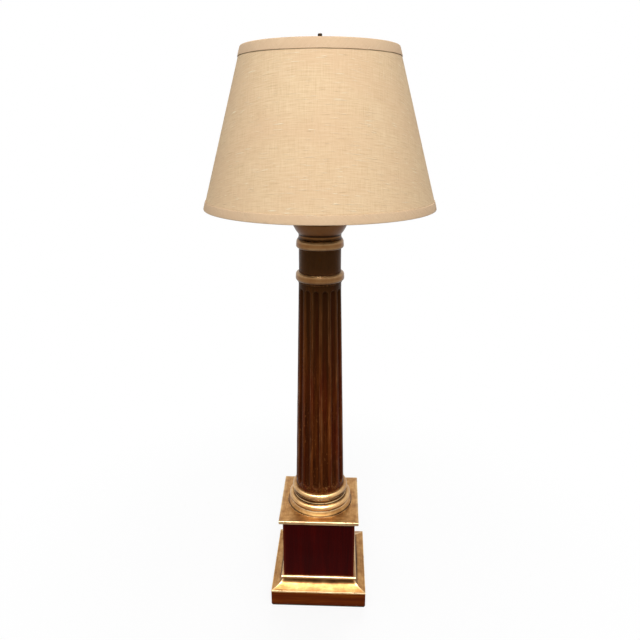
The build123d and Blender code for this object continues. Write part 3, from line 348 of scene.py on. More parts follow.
class Look(Nodes):
    """A material with the slot's name: nodes that drive Blender's standard surface."""

    def __init__(self, name, surface):
        self.material = bpy.data.materials.new(name)
        self.material.use_nodes = True
        super().__init__(self.material.node_tree)
        self.shader = self.tree.nodes["Principled BSDF"]
        self.slot = name
        self.fill(self.shader, surface)
        self.place = self.add("ShaderNodeTexCoord").outputs["Object"]

    def noise(self, size, stretch=(1, 1, 1), detail=3.0, rough=0.5, place=None, distort=0.0):
        """Noise with patches about this many metres wide, longer where an axis is stretched."""
        scale = [1 / (size * s) for s in stretch]
        mapped = self.add("ShaderNodeMapping", {"Vector": place or self.place, "Scale": scale})
        values = {"Scale": 1.0, "Detail": detail, "Roughness": rough, "Distortion": distort}
        return self.add("ShaderNodeTexNoise", {"Vector": mapped.outputs[0], **values}).outputs[0]

    def mix(self, amount, a, b):
        return self.add("ShaderNodeMix", {0: amount, 6: a, 7: b}, data_type="RGBA").outputs[2]

    def ramp(self, amount, *stops):
        node = self.add("ShaderNodeValToRGB", {0: amount})
        elements = node.color_ramp.elements
        while len(elements) < len(stops):
            elements.new(0.5)
        for element, (position, colour) in zip(elements, stops):
            element.position, element.color = position, colour
        return node.outputs[0]

    def layer(self, name):
        return self.add("ShaderNodeAttribute", attribute_name=name).outputs["Fac"]

    def apart(self, vector=None):
        """The three coordinates of a place."""
        return self.add("ShaderNodeSeparateXYZ", {0: vector or self.place}).outputs

    def together(self, x, y, z):
        return self.add("ShaderNodeCombineXYZ", {0: x, 1: y, 2: z}).outputs[0]

    def bump(self, height, depth, under=None):
        """A bumped normal: height from 0 to 1 stands for this depth, in metres."""
        inputs = {"Height": height, "Distance": depth, "Strength": 1.0}
        if under is not None:
            inputs["Normal"] = under
        return self.add("ShaderNodeBump", inputs).outputs[0]

    def gloss(self, size, low, high):
        """Roughness that wanders between two values, over patches of this size."""
        return self.span(self.noise(size, detail=3), 0.3, 0.7, low, high)

    def strokes(self, size, length=22.0, **more):
        """Noise drawn out along the strokes of the brush, which run along a moulding or round a turning."""
        x, y, _ = self.apart()
        slow_x, slow_y = self.math("DIVIDE", x, length), self.math("DIVIDE", y, length)
        drawn = self.together(slow_x, slow_y, self.layer("across"))
        return self.noise(size, place=drawn, **more)

    def finish(self, **surface):
        """Joins the last values to the shader, with words for its sockets in place of spaces."""
        self.fill(self.shader, {name.replace("_", " "): value for name, value in surface.items()})
        return self


def gilt_look():
    """Gold leaf and bronze paint brushed over wood, rubbed pale on ridges, where it also carries a painted
    highlight, with dirt and painted shade in the hollows, painted shade on undersides and browner painted
    shade up the column.
    """
    look = Look("gilt", {"Metallic": 0.94, "Coat Roughness": 0.28})
    cloud = look.noise(0.030, detail=5, rough=0.6)
    blotch = look.noise(0.009, detail=4, rough=0.6, distort=0.4)
    strokes = look.strokes(0.0016, detail=4)
    fine = look.strokes(0.0005, length=30, detail=2)
    specks = look.noise(0.0022, detail=2)
    ridge, hollow = look.layer("ridge"), look.layer("hollow")
    mottle = look.math("MULTIPLY_ADD", cloud, 0.45, look.times(blotch, 0.30))
    colour = look.ramp(
        look.math("MULTIPLY_ADD", strokes, 0.25, mottle),
        (0.38, tone(138, 91, 44)), (0.50, tone(172, 124, 68)), (0.62, tone(200, 155, 96)),
    )
    colour = look.mix(look.span(specks, 0.66, 0.74, 0, 0.5), colour, tone(112, 68, 30))
    upper = look.span(look.apart()[2], 0.30, 0.60)  # painted shade: browner up the column, where the lamp's shade shadows the gilding
    colour = look.mix(look.times(upper, 0.80), colour, tone(122, 78, 36))
    # rubbed pale gold on the ridges, which also serves as a painted highlight on the tori
    rubbed_and_highlit = look.times(ridge, look.span(cloud, 0.35, 0.6, 0.35, 0.9))
    colour = look.mix(rubbed_and_highlit, colour, tone(240, 214, 164))
    bare = look.times(ridge, look.span(look.noise(0.007, detail=3), 0.60, 0.68))
    colour = look.mix(bare, colour, tone(120, 62, 34))
    facing = look.apart(look.add("ShaderNodeTexCoord").outputs["Normal"])[2]
    underside_shade = look.span(facing, 0.25, -0.35)  # painted shade on the undersides
    colour = look.mix(look.times(underside_shade, 0.75), colour, tone(74, 40, 12))
    # dirt and painted shade in the hollows, darkest in the coves
    grime_and_shade = look.times(hollow, look.span(cloud, 0.3, 0.7, 1.0, 0.8))
    colour = look.mix(grime_and_shade, colour, tone(38, 17, 2))
    clear_of_grime_and_shade = look.math("SUBTRACT", 1.0, grime_and_shade)
    polish = look.times(clear_of_grime_and_shade, look.span(upper, 0, 1, 1.0, 0.3))
    varnish = look.times(polish, look.math("MULTIPLY_ADD", ridge, 0.50, 0.24))
    rough = look.span(strokes, 0.3, 0.7, 0.32, 0.46)
    normal = look.bump(look.noise(0.006, detail=3), 0.00012)
    normal = look.bump(strokes, 0.00005, normal)
    normal = look.bump(fine, 0.00002, normal)
    return look.finish(Base_Color=colour, Roughness=rough, Coat_Weight=varnish, Normal=normal)


def wood(name, grain, dark, middle, light, surface, figure=0.009):
    """Polished wood with its grain along one axis: figure, fibres and dark pores."""

    def along(run):
        return tuple(run if axis == grain else 1 for axis in "xyz")

    look = Look(name, surface)
    broad = look.noise(figure, along(18), detail=4, rough=0.6, distort=0.5)
    fibre = look.noise(0.0011, along(45), detail=3, rough=0.6)
    pores = look.noise(0.00045, along(14), detail=2)
    blend = look.math("MULTIPLY_ADD", broad, 0.68, look.times(fibre, 0.32))
    colour = look.ramp(blend, (0.36, dark), (0.50, middle), (0.66, light))
    pit = look.span(pores, 0.60, 0.70)
    colour = look.mix(look.times(pit, 0.55), colour, dark)
    normal = look.bump(look.math("SUBTRACT", fibre, look.times(pit, 0.4)), 0.00004)
    return look, colour, normal


def column_look():
    """Dark mahogany, worn on the ridges, with painted shade at its head, under the lamp's shade, and in its
    hollows, and darker near the foot.
    """
    surface = {"Specular IOR Level": 0.06, "Specular Tint": tone(255, 190, 140)}
    look, colour, normal = wood(
        "mahogany_column", "z", tone(48, 16, 3), tone(82, 35, 8), tone(122, 62, 20), surface, 0.006
    )
    level = look.apart()[2]
    # painted shade: the shaft's head and the drum lie in the lamp shade's shadow, so a shaded copy of the
    # colour takes over there
    below_painted_shade = look.span(level, 0.60, 0.40)
    red = look.span(look.noise(0.011, (1, 1, 12), detail=2), 0.50, 0.62)
    colour = look.mix(look.times(red, 0.55), colour, tone(84, 16, 6))
    amber = look.span(look.noise(0.009, (1, 1, 10), detail=3), 0.56, 0.68)
    colour = look.mix(look.times(amber, 0.38), colour, tone(118, 60, 20))
    shadowed = look.mix(0.66, colour, tone(62, 42, 20))
    colour = look.mix(below_painted_shade, shadowed, colour)
    # the drum is painted lighter again, easing the painted shade there
    colour = look.mix(look.span(level, 0.622, 0.640, 0, 0.85), colour, tone(104, 68, 38))
    colour = look.mix(look.span(level, 0.300, 0.225, 0, 0.4), colour, tone(50, 18, 4))
    ridge, hollow, land = look.layer("ridge"), look.layer("hollow"), look.layer("land")
    # the flutes darker towards their centres, by a patchy amount
    sunk = look.times(look.span(land, 0.34, 0.08), look.layer("fluted"))
    flute_darkening = look.span(look.noise(0.02, (1, 1, 6), detail=3), 0.35, 0.6, 0.15, 0.60)
    colour = look.mix(look.times(sunk, flute_darkening), colour, tone(52, 15, 3))
    patchy = look.span(look.noise(0.008, (1, 1, 8), detail=4, rough=0.7), 0.46, 0.62)
    worn = look.times(ridge, look.span(patchy, 0, 1, 0.12, 0.9))
    # wear on the ridges, fainter within the painted shade at the head
    worn = look.times(worn, look.span(below_painted_shade, 0, 1, 0.45, 1.0))
    colour = look.mix(worn, colour, tone(158, 108, 68))
    # painted shade in the hollows
    colour = look.mix(look.times(hollow, 0.2), colour, tone(14, 6, 3))
    gold = look.span(look.noise(0.0021, detail=3), 0.60, 0.66)
    gold = look.times(gold, look.span(level, 0.250, 0.222, 0, 0.6))
    colour = look.mix(gold, colour, tone(176, 126, 66))
    scuffs = look.span(look.noise(0.0022, (1, 1, 3), detail=3), 0.62, 0.70)
    lower = look.span(level, 0.50, 0.38)
    scuffs = look.times(scuffs, look.times(lower, 0.28))
    colour = look.mix(scuffs, colour, tone(160, 100, 52))
    rough = look.gloss(0.03, 0.30, 0.44)
    rough = look.math("MULTIPLY_ADD", look.layer("fluted"), look.span(land, 0.6, 0.1, 0, 0.35), rough)
    return look.finish(Base_Color=colour, Roughness=rough, Normal=normal)


def panel_look():
    """Oxblood mahogany under a deep polish."""
    surface = {"Specular IOR Level": 0.13, "Specular Tint": tone(255, 60, 40)}
    look, colour, normal = wood(
        "mahogany_panel", "z", tone(34, 0, 0), tone(48, 0, 0), tone(63, 2, 0), surface, 0.016
    )
    ridge = look.layer("ridge")
    colour = look.mix(look.times(ridge, 0.5), colour, tone(118, 44, 22))
    rough = look.gloss(0.04, 0.16, 0.26)
    normal = look.bump(look.noise(0.012, detail=2), 0.00006, normal)
    return look.finish(Base_Color=colour, Roughness=rough, Normal=normal)


def base_look(top):
    """Red-brown mahogany of the foot, with the gilding's ragged edge along its top."""
    look, colour, normal = wood(
        "mahogany_base", "x", tone(72, 24, 0), tone(98, 38, 2), tone(132, 64, 12),
        {"Specular IOR Level": 0.09, "Specular Tint": tone(255, 180, 110)},
    )
    stain = look.span(look.noise(0.03, (3, 3, 1), detail=4), 0.35, 0.65)
    colour = look.mix(look.times(stain, 0.40), colour, tone(92, 24, 3))
    level = look.apart()[2]
    ragged = look.math("MULTIPLY_ADD", look.noise(0.004, detail=3), 0.0016, level)
    gold = look.span(ragged, top - 0.0001, top + 0.0002)
    colour = look.mix(gold, colour, tone(196, 152, 92))
    rough = look.gloss(0.02, 0.34, 0.48)
    metal = look.times(gold, 0.9)
    return look.finish(Base_Color=colour, Roughness=rough, Metallic=metal, Normal=normal)


def abacus_look():
    """Stained wood on top of the capital."""
    look, colour, normal = wood(
        "ebonised_wood", "x", tone(26, 15, 9), tone(44, 28, 18), tone(66, 44, 28),
        {"Specular IOR Level": 0.4},
    )
    rough = look.gloss(0.02, 0.35, 0.5)
    return look.finish(Base_Color=colour, Roughness=rough, Normal=normal)


def pine_look():
    """Plain sawn wood of the blocks inside the plinth."""
    look, colour, normal = wood(
        "plain_wood", "z", tone(156, 112, 66), tone(196, 154, 102), tone(222, 186, 136),
        {"Roughness": 0.75}, 0.014,
    )
    return look.finish(Base_Color=colour, Normal=look.bump(look.noise(0.0009, (1, 1, 8)), 0.0001, normal))


def linen_cloth(name, roughness, sheen, sheen_tint, turned=False):
    """Slubby linen, drawn in the cloth's own flat coordinates, which may be turned onto the bias."""
    look = Look(name, {"Roughness": roughness, "Specular IOR Level": 0.15, "Sheen Weight": sheen,
                       "Sheen Roughness": 0.5, "Sheen Tint": sheen_tint})
    weave = look.add("ShaderNodeAttribute", attribute_name="weave").outputs["Vector"]
    across, along = look.apart(weave)[:2]
    if turned:
        sum_of, difference = look.math("ADD", across, along), look.math("SUBTRACT", across, along)
        weave = look.together(sum_of, difference, 0.0)
        across, along = sum_of, difference
    weft = look.noise(0.0013, (20, 1, 1), detail=3, rough=0.6, place=weave)
    warp = look.noise(0.0013, (1, 20, 1), detail=3, rough=0.6, place=weave)
    slub_weft = look.span(look.noise(0.0020, (11, 1, 1), detail=2, place=weave), 0.62, 0.72)
    slub_warp = look.span(look.noise(0.0020, (1, 9, 1), detail=2, place=weave), 0.68, 0.77)
    thin_weft = look.span(look.noise(0.0017, (13, 1, 1), detail=2, place=weave), 0.34, 0.27)
    cloud = look.noise(0.06, (2, 1, 1), detail=3, place=weave)
    flocks = look.noise(0.030, (2.2, 1, 1), detail=4, rough=0.6, place=weave)
    flocks = look.span(flocks, 0.44, 0.58, 0.15, 1.0)
    blend = look.math("MULTIPLY_ADD", weft, 0.64, look.times(warp, 0.36))
    colour = look.ramp(
        blend, (0.32, tone(214, 181, 138)), (0.5, tone(231, 200, 158)), (0.68, tone(243, 216, 177))
    )
    colour = look.mix(look.span(cloud, 0.35, 0.65, 0, 0.45), colour, tone(226, 188, 148))
    pale = look.times(slub_weft, look.times(flocks, 0.85))
    colour = look.mix(pale, colour, tone(255, 240, 208))
    colour = look.mix(look.times(slub_warp, 0.40), colour, tone(250, 230, 192))
    thin = look.times(thin_weft, look.times(flocks, 0.60))
    colour = look.mix(thin, colour, tone(184, 150, 112))
    thread_pitch = 0.00062
    turns = tau / thread_pitch
    over = look.math("SINE", look.times(across, turns))
    under = look.math("SINE", look.times(along, turns))
    threads = look.math("MULTIPLY_ADD", look.times(over, under), 0.25, 0.5)
    slubs = look.math("MAXIMUM", slub_weft, slub_warp)
    normal = look.bump(threads, 0.00010)
    normal = look.bump(blend, 0.00022, normal)
    normal = look.bump(slubs, 0.00030, normal)
    return look, colour, normal


def linen_look():
    """The shade's linen, with a painted shadow line along the edge of the top band and a fainter one along
    the bottom band.
    """
    look, colour, normal = linen_cloth("linen", 0.88, 0.12, tone(255, 236, 205))
    colour = look.mix(look.layer("painted_band_shadow"), colour, tone(112, 84, 54))
    return look.finish(Base_Color=colour, Normal=normal)


def trim_look():
    """The same cloth cut on the bias for the bands."""
    look, colour, normal = linen_cloth("linen_trim", 0.85, 0.15, tone(255, 230, 205), turned=True)
    colour = look.mix(0.50, colour, tone(214, 181, 148))
    return look.finish(Base_Color=colour, Normal=normal)


def liner_look():
    """White styrene behind the linen, a little yellowed."""
    look = Look("shade_lining", {"Specular IOR Level": 0.4})
    cloud = look.noise(0.06, detail=4)
    colour = look.ramp(cloud, (0.35, tone(230, 220, 200)), (0.65, tone(244, 237, 222)))
    rough = look.gloss(0.01, 0.42, 0.58)
    return look.finish(Base_Color=colour, Roughness=rough, Normal=look.bump(look.noise(0.004), 0.00004))


def felt_look():
    """Dark green wool felt."""
    look = Look("felt", {"Roughness": 0.95, "Specular IOR Level": 0.1, "Sheen Weight": 0.3,
                         "Sheen Tint": tone(120, 150, 110)})
    fibres = look.noise(0.0007, detail=5, rough=0.75, distort=1.5)
    colour = look.ramp(fibres, (0.3, tone(16, 36, 22)), (0.55, tone(30, 58, 38)), (0.75, tone(56, 84, 58)))
    return look.finish(Base_Color=colour, Normal=look.bump(fibres, 0.0004))


def metal_look(name, dark, light, rough):
    """A machined or drawn metal: smudged colour, fine scratches and uneven gloss."""
    look = Look(name, {"Metallic": 1.0})
    smudge = look.noise(0.012, detail=4, rough=0.6)
    lines = look.noise(0.0004, (1, 1, 30), detail=2)
    specks = look.span(look.noise(0.0013, detail=2), 0.68, 0.76, 0, 0.6)
    colour = look.ramp(smudge, (0.33, dark), (0.62, light))
    colour = look.mix(specks, colour, dark)
    mixed = look.math("MULTIPLY_ADD", lines, 0.4, look.times(smudge, 0.6))
    gloss = look.span(mixed, 0.3, 0.7, rough * 0.75, rough * 1.35)
    return look.finish(Base_Color=colour, Roughness=gloss, Normal=look.bump(lines, 0.00002))


def cast_iron_look():
    """Rough sand-cast iron."""
    look = Look("cast_iron", {"Metallic": 0.6})
    grit = look.noise(0.0014, detail=5, rough=0.7)
    colour = look.ramp(grit, (0.3, tone(42, 38, 36)), (0.6, tone(70, 66, 64)), (0.8, tone(112, 74, 50)))
    rough = look.span(grit, 0.3, 0.7, 0.55, 0.8)
    return look.finish(Base_Color=colour, Roughness=rough, Normal=look.bump(grit, 0.0004))


def plain_look(name, dark, light, rough, size=0.003, depth=0.00003):
    """Card, moulded plastic or fused glass: one tone with a fine mottle and skin."""
    look = Look(name, {})
    mottle = look.noise(size, detail=4, rough=0.6)
    colour = look.ramp(mottle, (0.35, dark), (0.65, light))
    gloss = look.gloss(size * 4, rough * 0.8, rough * 1.25)
    return look.finish(Base_Color=colour, Roughness=gloss, Normal=look.bump(mottle, depth))


def frosted_look():
    """Inside-frosted glass of the bulb."""
    look = Look("bulb_glass", {"Transmission Weight": 0.55, "IOR": 1.45, "Specular IOR Level": 0.5})
    frost = look.noise(0.002, detail=3)
    colour = look.ramp(frost, (0.3, tone(232, 229, 222)), (0.7, tone(250, 248, 243)))
    rough = look.gloss(0.012, 0.16, 0.30)
    return look.finish(Base_Color=colour, Roughness=rough, Normal=look.bump(frost, 0.00001))


def clear_look():
    """Clear glass of the stem inside the bulb."""
    look = Look("clear_glass", {"Transmission Weight": 0.95, "IOR": 1.5})
    seeds = look.noise(0.0015, detail=2)
    colour = look.ramp(seeds, (0.3, tone(226, 236, 232)), (0.7, tone(250, 252, 250)))
    rough = look.span(seeds, 0.3, 0.7, 0.02, 0.08)
    return look.finish(Base_Color=colour, Roughness=rough, Normal=look.bump(seeds, 0.00001))


# ================ levels and widths from the frame
boxes = {name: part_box(name) for name in frame["nodes"]}
low = {name: box[0].z / MM for name, box in boxes.items()}
high = {name: box[1].z / MM for name, box in boxes.items()}
reach = {name: box[1].x / MM for name, box in boxes.items()}

looks = {look.slot: look for look in (
    gilt_look(),
    column_look(),
    panel_look(),
    base_look(boxes["base_slab"][1].z),
    abacus_look(),
    pine_look(),
    felt_look(),
    cast_iron_look(),
    metal_look("steel", tone(150, 146, 138), tone(196, 192, 184), 0.30),
    metal_look("brass", tone(166, 118, 52), tone(214, 168, 92), 0.22),
    metal_look("bronze", tone(30, 22, 16), tone(62, 46, 32), 0.34),
    plain_look("insulating_card", tone(140, 122, 94), tone(176, 158, 126), 0.85, 0.0012, 0.0001),
    plain_look("black_plastic", tone(20, 18, 17), tone(36, 32, 30), 0.35),
    metal_look("thread_shell", tone(158, 158, 154), tone(206, 206, 200), 0.28),
    linen_look(),
    liner_look(),
    trim_look(),
    frosted_look(),
    clear_look(),
    plain_look("black_glass", tone(10, 10, 12), tone(24, 22, 26), 0.12),
    metal_look("filament", tone(62, 60, 60), tone(110, 108, 106), 0.45),
)}
slot_of = {part["node"]: part["material_slot"] for part in frame["record"]["subparts"]}
for node_name, node in frame["nodes"].items():
    node.data.materials.clear()
    node.data.materials.append(looks[slot_of[node_name]].material)

round_240 = round_ring(240)


# ================ plinth
def felt_pad():
    """Felt under the foot."""
    margin, corner = 1.2, 2.0
    edge = reach["base_slab"] - margin
    outline = Outline(0.4, 0.0).to((edge, 0.0), (edge, high["felt_pad"]), (0.4, high["felt_pad"]))
    ring = square_ring(50, corner)
    piece = swept_piece("felt_pad", outline, ring, looks["felt"], ease=0.35, step=3.0, wobble=0)


def base_mouldings():
    """Gilt moulding round the foot of the plinth: lip, bevel, cove and bead."""
    box, outer = reach["plinth_panel_right"], reach["base_moulding_right"]
    foot, head = low["base_moulding_front"], high["base_moulding_front"]
    lip, lip_width = foot + 2.4, 0.8
    bevel_top, bevel_sag = foot + 6.3, 0.30
    cove_foot, cove_head, cove_sag = box + 9.2, box + 3.2, 2.2
    bead, bead_root = 2.3, box + 2.4
    bead_foot = head - 2 * bead
    outline = Outline(box, foot).to((outer, foot), (outer, lip), (outer - lip_width, lip))
    outline.arc(cove_foot, bevel_top, -bevel_sag, 12).arc(cove_head, bead_foot, -cove_sag, 14)
    outline.to((bead_root, bead_foot)).arc(bead_root, head, bead, 16).to((box, head))
    mitred_pieces("base_moulding", outline, looks["gilt"], 90, ease=0.45, step=1.2)


def plinth_panels():
    """Four polished boards, mitred at the corners."""
    outer, inner = reach["plinth_panel_right"], 57.1
    foot, head = low["plinth_panel_front"], high["plinth_panel_front"]
    outline = Outline(inner, foot).to((outer, foot), (outer, head), (inner, head))
    mitred_pieces("plinth_panel", outline, looks["mahogany_panel"], 60, ease=0.3, step=3.0)


def square_plate(node, bore, edge, corner, look, ease):
    """A square plate with rounded edges, bored for the lamp pipe."""
    outline = Outline(bore, low[node]).to((edge, low[node]), (edge, high[node]), (bore, high[node]))
    return swept_piece(node, outline, square_ring(60, corner), look, ease=ease, step=2.5)


# ================ column
def column_base():
    """Turned foot of the column: disc, torus, scotia between two grooves, torus."""
    foot, head = low["column_base"], high["column_base"]
    disc, disc_step, disc_sag = shaft_foot + 16.0, 0.2, 0.35
    edge, disc_top, disc_head = foot + 1.2, foot + 9.6, shaft_foot + 10.4
    torus, upper = 5.8, 4.8
    torus_x, upper_x = shaft_foot + 12.9 - torus, shaft_foot + 6.7 - upper
    neck, neck_sag = shaft_foot + 4.8, 1.0
    groove, slit = shaft_foot + 3.4, 1.3
    torus_top = disc_top + 2 * torus
    upper_foot = head - 2 * upper
    outline = Outline(pipe_bore, foot).to((disc, foot), (disc, edge), (disc - disc_step, edge))
    outline.arc(disc_head, disc_top, -disc_sag, 10).to((torus_x, disc_top))
    outline.arc(torus_x, torus_top, torus, 22)
    outline.to((groove, torus_top), (groove, torus_top + slit), (neck, torus_top + slit))
    outline.arc(neck, upper_foot - slit, -neck_sag, 10)
    outline.to((groove, upper_foot - slit), (groove, upper_foot), (upper_x, upper_foot))
    outline.arc(upper_x, head, upper, 20).to((pipe_bore, head))
    swept_piece("column_base", outline, round_240, looks["gilt"], ease=0.35, step=1.5)


def shaft_radius(height, length):
    """Radius of the shaft at a height above its foot, before the flutes are cut."""
    return shaft_foot + (shaft_head - shaft_foot) * height / length


def flute_depth(turns, height, length):
    """How deep the flutes are cut at these angles, at a height above the shaft's foot."""
    full = shaft_radius(height, length)
    low_z = foot_margin + flute_radius_ratio * shaft_radius(foot_margin, length)
    high_z = length - head_margin - flute_radius_ratio * shaft_radius(length - head_margin, length)
    past = max(low_z - height, height - high_z, 0.0)
    section = max((flute_radius_ratio * full) ** 2 - past**2, 0.0)
    centre = (1 - flute_depth_ratio + flute_radius_ratio) * full
    pitch = tau / flute_count
    turn = (turns - radians(flute_turn) + pitch / 2) % pitch - pitch / 2
    room = section - (centre * np.sin(turn)) ** 2
    floor = np.where(room > 0, centre * np.cos(turn) - np.sqrt(np.maximum(room, 0)), 2 * full)
    soft = -arris_round * np.logaddexp(-full / arris_round, -floor / arris_round)
    return full - soft


def column_shaft():
    """Tapering shaft with its flutes, on a rounded foot and under a plain ring."""
    foot = high["column_base"]
    head = high["astragal"] - astragal_height
    length = head - foot
    ring_height, ring_reach, foot_round, end_run = 3.0, 1.0, 1.2, 24.0
    heights = np.concatenate((
        np.linspace(foot_round, end_run, 30),
        np.linspace(end_run, length - end_run, 84)[1:-1],
        np.linspace(length - end_run, length - ring_height, 30),
    ))
    outline = Outline(pipe_bore, foot).to((shaft_foot - foot_round, foot))
    outline.corner(shaft_radius(foot_round, length), foot + foot_round, foot_round)
    outline.to(*[(shaft_radius(h, length), foot + h) for h in heights[1:]])
    ring_x = shaft_head + ring_reach
    outline.to((ring_x, head - ring_height), (ring_x, head), (pipe_bore, head))
    loop = outline.loop(0.25, 12.0)
    columns = flute_count * 28
    turns = np.arange(columns) / columns * tau + pi / 2
    rows, depths, outer = [], [], []
    for out, level in loop:
        height = level - foot
        fluted = out > shaft_head - 5 and height < length - ring_height
        depth = flute_depth(turns, height, length) if fluted else np.zeros(columns)
        depths.append(depth)
        outer.append(np.full(columns, float(fluted)))
        x, y = (out - depth) * np.cos(turns), (out - depth) * np.sin(turns)
        rows.append(np.column_stack((x, y, np.full(columns, level))))
    grid = np.array(rows)
    layers = {
        "across": np.repeat(across_of(loop), columns) * MM,
        "land": np.exp(-np.maximum(np.array(depths).ravel(), 0) / land_fade),
        "fluted": np.array(outer).ravel(),
    }
    make_piece(
        "column_shaft_finish", wobbled(grid.reshape(-1, 3)), quads(len(loop), columns, True, True),
        looks["mahogany_column"], "lamp", ["column_shaft"], layers, sharp=60,
    )


def astragal():
    """Gilt ring at the head of the shaft."""
    head = high["astragal"]
    foot = head - astragal_height
    radius, foot_round, head_round, taper = shaft_head + 5.1, 4.6, 5.2, 0.3
    outline = Outline(pipe_bore, foot).to((radius - foot_round, foot))
    outline.corner(radius, foot + foot_round, foot_round).to((radius - taper, head - head_round))
    outline.corner(radius - taper - head_round, head, head_round).to((pipe_bore, head))
    swept_piece("astragal", outline, round_240, looks["gilt"], ease=0.3, step=1.5)


def neck_drum():
    """Dark drum between the astragal and the capital."""
    foot, head = high["astragal"], high["astragal"] + drum_height
    outline = Outline(pipe_bore, foot).to((drum, foot), (drum, head), (pipe_bore, head))
    swept_piece("neck_drum", outline, round_240, looks["mahogany_column"], ease=0.3, step=1.5)


def capital():
    """Gilt capital: rounded ring that flares in to a neck, echinus and fillet."""
    head = high["capital"]
    foot = high["astragal"] + drum_height
    ring_top = foot + 14.4
    ring, ring_head, ring_end = drum + 4.5, drum + 4.0, drum + 2.4
    flare_top = ring_top + 5.3
    echinus_foot, echinus_head = flare_top + 3.6, head - 2.4
    outline = Outline(pipe_bore, foot).to((ring - 3.6, foot)).corner(ring, foot + 3.6, 3.6)
    outline.to((ring_head, ring_top - 5.2)).arc(ring_end, ring_top, 0.43, 8).arc(drum, flare_top, -0.55, 8)
    outline.to((drum, echinus_foot))
    outline.arc(drum + 11.5, echinus_head, 1.27, 14)
    outline.to((drum + 12.9, echinus_head), (drum + 12.9, head), (pipe_bore, head))
    swept_piece("capital", outline, round_240, looks["gilt"], ease=0.35, step=1.5)


# ================ shade
shade_low, shade_high = low["shade_bottom_trim"], high["shade_top_trim"]
shade_bottom = reach["shade_bottom_trim"]
shade_top = 121.0
shade_slope = (shade_bottom - shade_top) / (shade_high - shade_low)
slant = cos(atan(shade_slope))
flat_turn = sin(atan(shade_slope))  # turn of the flat cut for each turn round the shade


def skin_radius(level, depth):
    """Radius, at a level, of the cone that lies this deep inside the shade's outer face."""
    return shade_bottom - (level - shade_low) * shade_slope - depth / slant


def flat_place(turns, radius):
    """Where a point of the cone lies on the cloth cut flat, from the middle of the front."""
    run = radius / flat_turn
    return run * np.sin(turns * flat_turn), run * np.cos(turns * flat_turn)


def cone_sheet(name, look, depth, thickness, painted_band_shadow=None):
    """A layer of the shade's wall, cut as one sheet whose end laps over its start at the back."""
    foot, head = shade_low + linen_depth, shade_high - linen_depth
    mean_radius = skin_radius((foot + head) / 2, depth)
    lap = lap_width / mean_radius
    ease = 0.05
    rise = pi - 2 * ease
    turns = np.concatenate((np.linspace(-pi, rise, 300), np.linspace(rise, pi + lap, 24)[1:]))
    lift = np.clip((turns - (pi - 1.6 * ease)) / (1.2 * ease), 0, 1)
    lift = (thickness + 0.04) * lift * lift * (3 - 2 * lift)
    lower_end, upper_end = foot + 18, head - 20
    levels = np.concatenate((
        np.linspace(foot, lower_end, 14),
        np.linspace(lower_end, upper_end, 30)[1:-1],
        np.linspace(upper_end, head, 14),
    ))
    outer, inner = [], []
    for rows, inset in ((outer, 0.0), (inner, thickness)):
        for level in levels:
            radius = skin_radius(level, depth + inset) + lift
            x, y = radius * np.sin(turns), -radius * np.cos(turns)
            rows.append(np.column_stack((x, y, np.full(len(turns), level))))
    grid = np.array(outer + inner[::-1])
    rows, columns = grid.shape[:2]
    faces = capped_quads(rows, columns)
    levels_all = np.concatenate((levels, levels[::-1]))
    radii = skin_radius(levels_all, depth)
    x, y = flat_place(turns[None, :], radii[:, None])
    weave = np.stack((x, y, np.zeros_like(x)), -1).reshape(-1, 3)
    layers = {"weave": weave * MM}
    # painted shadow line along the edge of each band: full below the top band, fainter above the bottom one
    if painted_band_shadow:
        upper = np.clip(1 - (shade_high - top_band - levels_all) / painted_band_shadow, 0, 1)
        lower = np.clip(1 - (levels_all - shade_low - bottom_band) / painted_band_shadow, 0, 1)
        layers["painted_band_shadow"] = np.repeat(np.maximum(upper, 0.35 * lower), columns)
    points = grid.reshape(-1, 3)
    piece = make_piece(name + "_finish", points, faces, look, "shade", [name], layers)
    length = slant_length(foot, head)
    area = pi * (skin_radius(foot, depth) + skin_radius(head, depth)) * length * MM * MM
    return piece, area


def slant_length(foot, head):
    """Length of the cone's face between two levels."""
    return (head - foot) / slant


